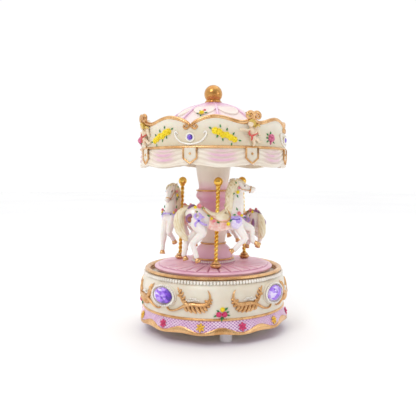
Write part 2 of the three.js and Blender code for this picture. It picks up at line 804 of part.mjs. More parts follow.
function columnUpper() {
  const z = column.waistLevel;
  const { topRadius: r } = column;
  const bore = tie.radius + GAP;
  return turned(
    [
      [bore, z],
      [r - 4.3, z],
      [r - 4.6, z + 1.6],
      [r - 3, z + 10],
      [r - 0.3, z + 17],
      [r - 1, z + 22],
      [r - 1.2, z + 26.4],
      [r - 4.4, z + 31.2],
      [r - 0.3, z + 35],
      [r - 1, z + 38],
      [r - 0.5, z + 39.9],
      [r - 2.4, z + 41.4],
      [r - 2.3, z + 44],
      [r, z + 57],
      [r, columnTop],
      [bore, columnTop],
    ],
    24,
  );
}

piece("turning_disc", turningDisc(), PINK);
piece("disc_flange", discFlange(), ZINC);
piece("tie_rod", tieRod(), STEEL);
piece("tie_nut", tieNut(), STEEL);
piece("column_lower", columnLower(), MAUVE);
piece("column_upper", columnUpper(), CREAM);

// ---- Horses on their poles ---------------------------------------------------------------------------------

// Where a leg's joints are, measured from the pole with x forwards, and z from the floor.
const hind = (y, knee, hock, hoof) => [
  [-12.4, y, 86, 2.6, 5],
  [knee[0], y, knee[1], 2.2, 3],
  [hock[0], y, hock[1], 1.7, 1.9],
  [hoof[0], y, hoof[1], 1.4, 1.5],
  [hoof[0] + 0.8, y, hoof[1] - 2.8, 2, 2.2],
];
const fore = (y, elbow, knee, hoof) => [
  [14, y, 83, 2.4, 4.2],
  [elbow[0], y, elbow[1], 2.1, 2.7],
  [knee[0], y, knee[1], 1.8, 1.9],
  [hoof[0], y, hoof[1], 1.3, 1.4],
  [hoof[0] - 1.6, y, hoof[1] - 2.2, 1.9, 2.1],
];
const horseLegs = {
  front: [
    hind(-3, [-9.5, 75], [-16.2, 67], [-13.4, 56.4]),
    hind(3, [-12, 75.5], [-19.6, 68.5], [-21.4, 58.4]),
    fore(-2.8, [19.6, 77], [25, 69.4], [14.6, 62.4]),
    fore(2.8, [21, 79], [26.4, 75], [24.4, 66]),
  ],
  right: [
    hind(-3, [-9.5, 76], [-15.4, 70.5], [-10.6, 64.6]),
    hind(3, [-11, 76.5], [-18, 72], [-15, 63.4]),
    fore(-2.8, [18.4, 76], [22.6, 69], [17.6, 62.6]),
    fore(2.8, [20.4, 77.6], [25, 71.4], [22.4, 63.6]),
  ],
  left: [
    hind(-3, [-9.5, 75], [-16.2, 67], [-14.6, 57.4]),
    hind(3, [-12, 75.5], [-19, 69], [-21, 60]),
    fore(-2.8, [19, 77.4], [24, 71], [18.4, 65]),
    fore(2.8, [17.4, 75.4], [19.6, 67.4], [19.2, 58.6]),
  ],
};

/** One cast horse round its pole, the pole standing on the axis and the horse facing +X. */
function horse(legs) {
  const barrelOfHorse = [
    [-19.2, 0, 86, 1.6, 2.6],
    [-16.8, 0, 86, 4.2, 5.8],
    [-11.5, 0, 85.6, 5.6, 7.6],
    [-4, 0, 82.6, 5.8, 6.2],
    [4, 0, 82, 5.8, 5.9],
    [11, 0, 82.2, 5.6, 7],
    [16.6, 0, 82.6, 4.2, 5.8],
    [19.6, 0, 82.8, 1.8, 3],
  ];
  const neck = [
    [11.6, 0, 83, 4.4, 7],
    [14, 0, 90, 3.8, 6],
    [15, 0, 98, 3.2, 4.8],
    [16.2, 0, 106, 2.6, 3.8],
  ];
  const head = [
    [13, 0, 108.6, 2, 1.8],
    [16.6, 0, 107.6, 3.2, 3.7],
    [20, 0, 106.4, 2.7, 3],
    [24.6, 0, 104.8, 1.9, 2.1],
    [27.4, 0, 103.8, 1.5, 1.7],
  ];
  const mane = [
    [13.4, 0, 110.8, 1, 0.8],
    [9.8, 0, 106, 2.4, 2.4],
    [8.6, 0, 98, 2.7, 3],
    [8.6, 0, 91, 2, 2.4],
    [9.4, 0, 87, 0.9, 1],
  ];
  const tail = [
    [-14.6, 0, 90, 1.6, 1.8],
    [-20, 0, 90.8, 2, 2.2],
    [-24.8, 0, 85.6, 2.5, 2.8],
    [-25.4, 0, 77, 2.6, 3],
    [-23.6, 0, 71, 1.6, 1.8],
    [-22, 0, 68, 0.6, 0.6],
  ];
  const saddle = [
    [-8.6, 0, 91, 2.8, 0.8],
    [-5.6, 0, 88.4, 4.6, 1.6],
    [0, 0, 87, 5, 1.6],
    [5.4, 0, 88.6, 3.6, 1.5],
    [7.8, 0, 90.6, 1.8, 0.7],
  ];
  const parts = [barrelOfHorse, neck, head, mane, tail, saddle].map((stations) => skin(stations, 8));
  for (const side of [-1, 1]) parts.push(limb([14.6, side * 1.6, 108.8], [13.6, side * 2, 112], 1.3, 0.4, 4));
  for (const chain of legs) parts.push(skin(chain, 6));
  parts.push(ball([0.2, 0, 82], [6.4, 6.4, 5], 8, 5));
  return cut(joined(...parts), rod(pole.radius + GAP, 70, 100, 8));
}

function poleRod() {
  return rod(pole.radius, disc.top - pole.seat, pole.knobLevel - 0.6, 10);
}

function poleKnob() {
  const { radius, knobLevel: z } = { radius: pole.knobRadius, knobLevel: pole.knobLevel };
  const knob = joined(ball([0, 0, z], [radius, radius, radius], 10, 6), rod(1.9, z - radius - 1, z, 10));
  return cut(knob, rod(pole.radius + GAP, z - 8, z - GAP, 10));
}

function poleCollar() {
  const bore = pole.radius + GAP;
  const { radius, neckRadius, height } = collar;
  const z = disc.top + 0.1;
  return turned(
    [
      [bore, z],
      [radius, z],
      [radius, z + height * 0.35],
      [radius - 0.5, z + height * 0.5],
      [neckRadius + 0.4, z + height * 0.55],
      [neckRadius, z + height],
      [bore, z + height],
    ],
    14,
  );
}

polePlaces().forEach(([x, y], i) => {
  const side = ["front", "right", "left"][i];
  const place = new THREE.Group();
  place.position.set(x, y, 0);
  place.rotation.z = rad(poleRing.angle + (360 / poleRing.count) * i);
  root.add(place);
  piece(`pole_${side}`, poleRod(), BRASS, place);
  piece(`pole_knob_${side}`, poleKnob(), BRASS, place);
  piece(`pole_collar_${side}`, poleCollar(), GOLD, place);
  piece(`horse_${side}`, horse(horseLegs[side]), side === "front" ? WHITE : BLUSH, place);
});

// ---- Canopy ------------------------------------------------------------------------------------------------

/** Height of the cornice's crest at an angle from the nearest gem, in degrees. */
function crestAt(fromGem) {
  const { dipLevel, crestLevel, scrollLevel } = canopy;
  const stops = [
    [0, dipLevel],
    [4, dipLevel + 1.4],
    [18, crestLevel],
    [36, crestLevel - 4.2],
    [45, scrollLevel],
  ];
  const i = Math.max(1, stops.findIndex(([angle]) => fromGem <= angle + 1e-6));
  const [[a, low], [b, high]] = [stops[i - 1], stops[i]];
  return THREE.MathUtils.smoothstep(fromGem, a, b) * (high - low) + low;
}

/** The angle in degrees from the nearest of the canopy's gems. */
function fromNearestGem(angle) {
  const bay = 360 / canopy.bays;
  const turnedTo = THREE.MathUtils.euclideanModulo(THREE.MathUtils.radToDeg(angle) - canopy.bayAngle, bay);
  return Math.min(turnedTo, bay - turnedTo);
}

function canopyCasting() {
  const { ceiling, radius, wall, hemLevel, ledge, crestLevel: crest, ringLevel, ringRadius } = canopy;
  const inner = radius - wall;
  const outline = [
    [tie.radius + GAP, ceiling],
    [inner, ceiling],
    [inner + 0.6, hemLevel],
    [radius + 0.6, hemLevel],
    [radius + 0.2, ringLevel - 4],
    [ringRadius - 1, ringLevel - 1.4],
    [ringRadius, ringLevel],
    [ringRadius - 1, ringLevel + 1.4],
    [radius - 0.6, ledge - 4],
    [radius - 0.4, crest - 1.6],
    [radius - 0.8, crest],
    [radius - 3.4, crest],
    [radius - 3.4, ledge],
    [inner - 4, ledge],
    [inner - 4, ceilingTop],
    [tie.radius + GAP, ceilingTop],
  ];
  const waved = reshape(turned(outline, 48), (angle, r, z) => {
    if (z > crest - 2) return [r, z + crestAt(fromNearestGem(angle)) - crest];
    if (z > hemLevel + 0.1) return [r, z];
    return [r, z + canopy.hemDrop * Math.cos(2 * canopy.bays * (angle - rad(canopy.bayAngle)))];
  });
  const shield = [
    [-5.2, ringLevel - 1],
    [5.2, ringLevel - 1],
    [5.2, hemLevel + 4.6],
    [0, hemLevel + 1],
    [-5.2, hemLevel + 4.6],
  ];
  const parts = [waved];
  for (let i = 0; i < 2 * canopy.bays; i++) {
    const angle = canopy.bayAngle + (180 / canopy.bays) * i;
    const tab = raised(shield, 0, 2.4).rotateX(Math.PI / 2).translate(0, 1 - radius, 0);
    parts.push(toAngle(tab, angle));
    if (i % 2) parts.push(...cherubRelief().map((g) => toAngle(g, angle)));
  }
  return joined(...parts);
}

/** A winged child in low relief, standing on the cornice's wall. */
function cherubRelief() {
  const y = -(canopy.radius - 0.6);
  const z = cherub.level;
  return [
    ball([0, y, z], [2.4, 1.4, 4.4], 6, 4),
    ball([0, y - 0.6, z + 6], [2, 1.8, 2.1], 6, 4),
    ball([-3.6, y, z + 2.6], [2.8, 0.9, 1.7], 6, 3),
    ball([3.6, y, z + 2.6], [2.8, 0.9, 1.7], 6, 3),
    ball([0, y, z - 5], [2.6, 1.2, 2.2], 6, 3),
  ];
}

function canopyDome() {
  const { top, wall, collarRadius } = dome;
  const seat = canopy.ledge;
  const rim = canopy.radius - 3.4 - GAP;
  const outer = [
    [rim, seat],
    [rim, seat + 1.4],
    [rim - 6, seat + 5.6],
    [rim - 14, seat + 11.4],
    [rim - 21.5, seat + 15.8],
    [rim - 29, seat + 20.6],
    [rim - 36, seat + 23.7],
    [collarRadius, top],
    [0, top],
  ];
  const inner = [
    [0, top - wall],
    [collarRadius, top - wall],
    [rim - 36, seat + 23.7 - wall],
    [rim - 29, seat + 20.6 - wall],
    [rim - 21.5, seat + 15.8 - wall],
    [rim - 14, seat + 11.4 - wall],
    [rim - 7, seat + 5.6 - wall],
    [rim - 7.6, seat],
  ];
  const ribs = 2 * canopy.bays;
  const ribbed = reshape(turned([...outer, ...inner, outer[0]], 6 * ribs), (angle, r, z) => {
    const onRib = Math.cos(ribs * (angle - rad(canopy.bayAngle))) > 0.9;
    const outside = z > seat + 5 && r > 12 && !inner.some(([ir, iz]) => Math.hypot(r - ir, z - iz) < 0.01);
    return [r, z + (onRib && outside ? 0.9 : 0)];
  });
  return solid(ribbed);
}

function finialCollar() {
  const { top, collarRadius: r, collarHeight: h } = dome;
  const z = top + GAP;
  return turned(
    [
      [0, z],
      [r - 0.8, z],
      [r, z + h * 0.5],
      [r - 0.8, z + h],
      [2.2, z + h],
      [2.2, z + h + 1],
      [0, z + h + 1],
    ],
    20,
  );
}

/** The ball, cut flat where it stands on its collar. */
function finialBall() {
  const { top, ballRadius: r, collarHeight: h } = dome;
  const seat = top + GAP + h + GAP;
  const whole = solid(ball([0, 0, seat + r - dome.ballSink], [r, r, r], 16, 10));
  return cut(whole, box(-r, r, -r, r, seat - r, seat), rod(2.2 + GAP, top, seat - GAP + 1, 12));
}

piece("canopy", canopyCasting(), CREAM);
piece("dome", canopyDome(), BLUSH);
piece("finial_collar", finialCollar(), GOLD);
piece("finial_ball", finialBall(), GOLD);
for (let i = 0; i < canopy.bays; i++) {
  const { radius, depth, level, sides } = canopyGem;
  const stone = ovalStone(2 * radius, 2 * radius, depth, sides);
  stone.translate(0, -(canopy.radius + GAP), level);
  piece(`canopy_gem_${i + 1}`, toAngle(stone, canopy.bayAngle + (360 / canopy.bays) * i), GEM);
}

export default root;
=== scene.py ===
"""Looks of a wind-up carousel music box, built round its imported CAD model.

A piece is modelled in millimetres and scaled to metres when it is finished. Headings are in degrees
from the front of the drum (-Y) and turn towards +X. Heights are above the floor.
"""

import logging
import math
from dataclasses import dataclass, field
from enum import Enum
from typing import Callable, Iterable, Sequence

import bmesh
import bpy
from mathutils import Matrix, Vector


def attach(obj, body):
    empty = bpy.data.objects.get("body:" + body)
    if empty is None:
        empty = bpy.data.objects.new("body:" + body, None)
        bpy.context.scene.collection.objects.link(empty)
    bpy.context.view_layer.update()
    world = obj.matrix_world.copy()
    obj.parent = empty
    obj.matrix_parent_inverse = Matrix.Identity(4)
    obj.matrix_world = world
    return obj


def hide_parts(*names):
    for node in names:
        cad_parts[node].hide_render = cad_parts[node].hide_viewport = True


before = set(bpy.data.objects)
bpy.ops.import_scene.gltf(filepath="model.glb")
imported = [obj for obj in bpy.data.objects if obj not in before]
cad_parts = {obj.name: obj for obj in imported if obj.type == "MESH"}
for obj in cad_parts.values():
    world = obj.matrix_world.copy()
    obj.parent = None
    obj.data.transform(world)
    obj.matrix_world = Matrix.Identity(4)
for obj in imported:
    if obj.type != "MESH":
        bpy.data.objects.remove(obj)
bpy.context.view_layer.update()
log = logging.getLogger("carousel")

MM = 0.001
TAU = math.tau
Point = Sequence[float]
Rule = Callable[[float, float, float], tuple[float, float]]


class Body(Enum):
    """The moving bodies that the visible pieces ride on."""

    BASE = "base"
    CAROUSEL = "carousel"


# ---- Shader arithmetic -------------------------------------------------------------------------------


class Value:
    """A shader socket that takes part in Python arithmetic."""

    def __init__(self, sheet: "Sheet", socket: bpy.types.NodeSocket) -> None:
        """Keeps the socket and the sheet it is on."""
        self.sheet = sheet
        self.socket = socket

    def __add__(self, other: "Value | float") -> "Value":
        """Sum."""
        return self.sheet.math("ADD", self, other)

    def __sub__(self, other: "Value | float") -> "Value":
        """Difference."""
        return self.sheet.math("SUBTRACT", self, other)

    def __rsub__(self, other: float) -> "Value":
        """A number less this value."""
        return self.sheet.math("SUBTRACT", other, self)

    def __mul__(self, other: "Value | float") -> "Value":
        """Product."""
        return self.sheet.math("MULTIPLY", self, other)

    def __truediv__(self, other: "Value | float") -> "Value":
        """Quotient."""
        return self.sheet.math("DIVIDE", self, other)

    __radd__ = __add__
    __rmul__ = __mul__

    def wave(self) -> "Value":
        """Cosine of the value in radians."""
        return self.sheet.math("COSINE", self)

    def size(self) -> "Value":
        """The value without its sign."""
        return self.sheet.math("ABSOLUTE", self)

    def rise(self, low: float, high: float) -> "Value":
        """0 below low and 1 above high, with a smooth rise between them.

        Args:
            low: where the rise starts.
            high: where it ends, which may be below low for a fall.

        Returns:
            The mask.
        """
        settings = {"interpolation_type": "SMOOTHSTEP"}
        if low < high:
            return self.sheet.node("ShaderNodeMapRange", settings, {0: self, 1: low, 2: high})
        return 1 - self.sheet.node("ShaderNodeMapRange", settings, {0: self, 1: high, 2: low})


def tint(code: str) -> tuple[float, float, float, float]:
    """A six-figure screen colour as linear light."""
    parts = [int(code[i : i + 2], 16) / 255 for i in (0, 2, 4)]
    light = [c / 12.92 if c <= 0.04045 else ((c + 0.055) / 1.055) ** 2.4 for c in parts]
    return (*light, 1.0)


class Sheet:
    """One material's nodes, with a Principled shader at their end."""

    def __init__(self, name: str) -> None:
        """Starts an empty material.

        Args:
            name: what the material is called.
        """
        self.material = bpy.data.materials.new(name)
        self.material.use_nodes = True
        self.tree = self.material.node_tree
        self.tree.nodes.clear()
        self.shader = self.tree.nodes.new("ShaderNodeBsdfPrincipled")
        output = self.tree.nodes.new("ShaderNodeOutputMaterial")
        self.tree.links.new(self.shader.outputs[0], output.inputs[0])
        coordinates = self.node("ShaderNodeTexCoord", output="Object")
        self.place = self.node(
            "ShaderNodeMapping", {"vector_type": "POINT"}, {0: coordinates, 3: (1 / MM,) * 3}
        )

    def node(self, kind: str, settings: dict | None = None, inputs: dict | None = None,
             output: int | str = 0) -> Value:
        """Adds a node.

        Args:
            kind: the node's type.
            settings: its properties, which are set first.
            inputs: numbers, colours or values for its sockets, by name or place.
            output: the socket that is wanted from it.

        Returns:
            The wanted output.
        """
        made = self.tree.nodes.new(kind)
        for key, value in (settings or {}).items():
            setattr(made, key, value)
        for key, value in (inputs or {}).items():
            self.feed(made.inputs[key], value)
        return Value(self, made.outputs[output])

    def feed(self, socket: bpy.types.NodeSocket, value: object) -> None:
        """Links a value to a socket, or sets a number or colour on it."""
        if isinstance(value, Value):
            self.tree.links.new(value.socket, socket)
        else:
            socket.default_value = value

    def math(self, operation: str, *terms: "Value | float") -> Value:
        """One step of arithmetic."""
        return self.node("ShaderNodeMath", {"operation": operation}, dict(enumerate(terms)))

    def mix(self, share: "Value | float", one: object, other: object) -> Value:
        """A colour between two colours.

        Args:
            share: how much of the other colour there is, from 0 to 1.
            one: the colour at 0.
            other: the colour at 1.

        Returns:
            The mixed colour.
        """
        return self.node("ShaderNodeMix", {"data_type": "RGBA"}, {0: share, 6: one, 7: other}, 2)

    def noise(self, grains: float, detail: float = 3.0, stretch: Point = (1, 1, 1)) -> Value:
        """Cloudy variation.

        Args:
            grains: clouds to a millimetre.
            detail: octaves of finer clouds.
            stretch: how much denser the clouds are along each axis.

        Returns:
            A value round one half.
        """
        place = self.node("ShaderNodeMapping", None, {0: self.place, 3: stretch})
        return self.node("ShaderNodeTexNoise", None, {"Vector": place, "Scale": grains, "Detail": detail})

    def axes(self) -> tuple[Value, Value, Value]:
        """The surface point's X, Y and Z in millimetres."""
        split = self.node("ShaderNodeSeparateXYZ", None, {0: self.place}).socket.node
        return tuple(Value(self, split.outputs[i]) for i in range(3))

    def heading(self) -> Value:
        """The surface point's heading from the front, in radians."""
        x, y, _ = self.axes()
        return self.math("ARCTAN2", x, y * -1.0)

    def crease(self, low: float = 0.44, high: float = 0.53) -> Value:
        """1 in the creases of a dense mesh and 0 on its ridges: the mask for the colour laid in the creases, mostly
        painted shade, with some antiquing wash and tarnish.
        """
        pointed = self.node("ShaderNodeNewGeometry", output="Pointiness")
        return pointed.rise(high, low)

    def finish(self, colour: object, roughness: object, relief: Value | None, depth: float) -> None:
        """Feeds the shader what varies over the surface.

        Args:
            colour: base colour.
            roughness: roughness.
            relief: height of the surface's fine relief.
            depth: height in millimetres that a relief of 1 stands for.
        """
        self.feed(self.shader.inputs["Base Color"], colour)
        self.feed(self.shader.inputs["Roughness"], roughness)
        if relief:
            inputs = {"Height": relief, "Distance": depth * MM, "Strength": 1.0}
            self.feed(self.shader.inputs["Normal"], self.node("ShaderNodeBump", None, inputs))


# ---- Finishes ----------------------------------------------------------------------------------------


@dataclass(frozen=True)
class Finish:
    """A brushed paint: its colour clouds over into a second one, and its film has a fine grain."""

    name: str
    slot: str
    colour: str
    second: str
    rough: float = 0.42
    metal: float = 0.0
    coat: float = 0.0
    glow: float = 0.0
    clouds: float = 0.12
    grain: float = 1.6
    depth: float = 0.05
    # Colour laid in the creases: mostly painted shade, with some antiquing wash on the resin and tarnish on the brass;
    # empty for none.
    crease_shade_and_patina: str = ""

    def material(self) -> bpy.types.Material:
        """The finish's material, made once."""
        return bpy.data.materials.get(self.name) or self.brew()

    def brew(self) -> bpy.types.Material:
        """Makes the material."""
        sheet = Sheet(self.name)
        for socket, value in (("Metallic", self.metal), ("Coat Weight", self.coat)):
            sheet.shader.inputs[socket].default_value = value
        sheet.shader.inputs["Coat Roughness"].default_value = 0.12
        if self.glow:
            sheet.shader.inputs["Subsurface Weight"].default_value = self.glow
            sheet.shader.inputs["Subsurface Scale"].default_value = 1.2 * MM
        grain = sheet.noise(self.grain)
        colour = self.paint(sheet)
        # Painted shade, with some antiquing wash and tarnish, darkens the creases.
        if self.crease_shade_and_patina:
            colour = sheet.mix(sheet.crease() * 0.85, colour, tint(self.crease_shade_and_patina))
        relief = grain + self.relief(sheet)
        sheet.finish(colour, (grain - 0.5) * 0.25 + self.rough, relief, self.depth)
        return sheet.material

    def paint(self, sheet: Sheet) -> Value:
        """The colour before painted shade, with some antiquing wash and tarnish, is laid in the creases."""
        return sheet.mix(sheet.noise(self.clouds).rise(0.38, 0.66), tint(self.colour), tint(self.second))

    def relief(self, sheet: Sheet) -> "Value | float":
        """Relief besides the grain, in shares of the depth."""
        return 0.0


@dataclass(frozen=True)
class ColumnPaint(Finish):
    """Bands of paint that run into each other up a column."""

    bands: tuple[tuple[float, str], ...] = ()

    def paint(self, sheet: Sheet) -> Value:
        """Blends the bands by height, with an uneven brushed edge."""
        _, _, z = sheet.axes()
        level = z + (sheet.noise(0.35) - 0.5) * 3.0
        colour: object = tint(self.bands[0][1])
        for (low, _), (high, code) in zip(self.bands, self.bands[1:]):
            colour = sheet.mix(level.rise(low, high), colour, tint(code))
        return sheet.mix(sheet.noise(self.clouds).rise(0.45, 0.8) * 0.3, colour, tint(self.second))


@dataclass(frozen=True)
class NetPaint(Finish):
    """Diamonds of two lilacs painted under the skirt's net."""

    pitch_degrees: float = 2.142857
    pitch_height: float = 1.8
    line: str = "E3BFE6"

    def mesh(self, sheet: Sheet) -> Value:
        """1 on the net's threads."""
        _, _, z = sheet.axes()
        along = sheet.heading() * (TAU / math.radians(self.pitch_degrees) / 2)
        up = z * (TAU / self.pitch_height / 2)
        threads = [(along + up).wave().size().rise(0.42, 0.05), (along - up).wave().size().rise(0.42, 0.05)]
        return sheet.math("MAXIMUM", *threads)

    def paint(self, sheet: Sheet) -> Value:
        """Pale threads on the cloudy ground."""
        return sheet.mix(self.mesh(sheet) * 0.2, super().paint(sheet), tint(self.line))

    def relief(self, sheet: Sheet) -> Value:
        """The diamonds are dished."""
        return self.mesh(sheet) * 3.0


@dataclass(frozen=True)
class SwagPaint(Finish):
    """Blush laid in the folds of the valance's swags."""

    swags: int = 8
    first: float = 0.0
    blush: str = "E4B4CC"
    sag: float = 3.8
    fold: float = 3.3

    def paint(self, sheet: Sheet) -> Value:
        """Blush in every other fold, strongest in the middle of a swag."""
        _, _, z = sheet.axes()
        turn = (sheet.heading() - math.radians(self.first)) * float(self.swags)
        middle = (turn.wave() * -0.5 + 0.5)
        folds = ((z + middle * self.sag) * (TAU / self.fold)).wave() * 0.5 + 0.5
        low = z.rise(122.4, 124.6) * z.rise(133.5, 130.0)
        share = middle.rise(0.3, 0.95) * (folds * 0.6 + 0.4) * low * sheet.noise(0.09).rise(0.2, 0.6)
        return sheet.mix(share, super().paint(sheet), tint(self.blush))


@dataclass(frozen=True)
class DomePaint(Finish):
    """Pink at the crown and on the ribs, fading to cream at the eaves."""

    ribs: int = 8
    crown: str = "D9A0CB"

    def paint(self, sheet: Sheet) -> Value:
        """Crown, ribs and cloudy panels."""
        _, _, z = sheet.axes()
        rib = (sheet.heading() * float(self.ribs)).wave().rise(0.55, 1.0)
        crown = (z + (sheet.noise(0.3) - 0.5) * 2.5).rise(162.4, 167.4)
        eaves = z.rise(161.2, 157.0) * 0.5
        tinted = sheet.mix(eaves, super().paint(sheet), tint("F8E6E6"))
        return sheet.mix(sheet.math("MAXIMUM", rib * 0.45, crown * 0.95), tinted, tint(self.crown))


@dataclass(frozen=True)
class PetalPaint(Finish):
    """Petals with painted shade in the grooves between them and on the step where they end, and painted light on their
    ends.
    """

    petals: int = 32
    # Colour of the painted shade in the grooves and on the step.
    line: str = "B9688C"
    # Colour of the painted light on the petals' ends.
    ends: str = "F6D3DD"

    def paint(self, sheet: Sheet) -> Value:
        """Painted shade in grooves that widen towards the rim and on the step, and a band of painted light along the
        ends of the petals.
        """
        x, y, z = sheet.axes()
        radius = sheet.math("SQRT", x * x + y * y)
        # Painted shade in the grooves between petals.
        groove_shade = (sheet.heading() * float(self.petals)).wave().rise(0.8, 1.0)
        shown = radius.rise(16, 27) * radius.rise(41.8, 40.8) * z.rise(46.5, 47.5)
        # Painted light along the petals' ends.
        pale = radius.rise(35, 40) * radius.rise(41.6, 40.8)
        petals = sheet.mix(pale * 0.6, super().paint(sheet), tint(self.ends))
        # Painted shade on the step where the petals end.
        step = radius.rise(40.8, 41.2) * radius.rise(42.2, 41.6)
        return sheet.mix(sheet.math("MAXIMUM", groove_shade * shown * 0.95, step * 0.6), petals, tint(self.line))


@dataclass(frozen=True)
class StonePaint(Finish):
    """A foiled stone: each facet is painted with its own share of light, a painted reflection."""

    # Colour of the painted highlight on the brightest facets.
    painted_highlight: str = "E9DCFF"

    def paint(self, sheet: Sheet) -> Value:
        """Facets painted from deep violet to a nearly white painted highlight, standing for their reflections."""
        # Each facet's painted reflection, from 0 for dark to 1 for the painted highlight.
        painted_glint = sheet.node("ShaderNodeAttribute", {"attribute_name": "facet"}, output="Fac")
        deep = sheet.mix(painted_glint.rise(0.0, 0.5), tint(self.second), tint(self.colour))
        return sheet.mix(painted_glint.rise(0.5, 1.0), deep, tint(self.painted_highlight))


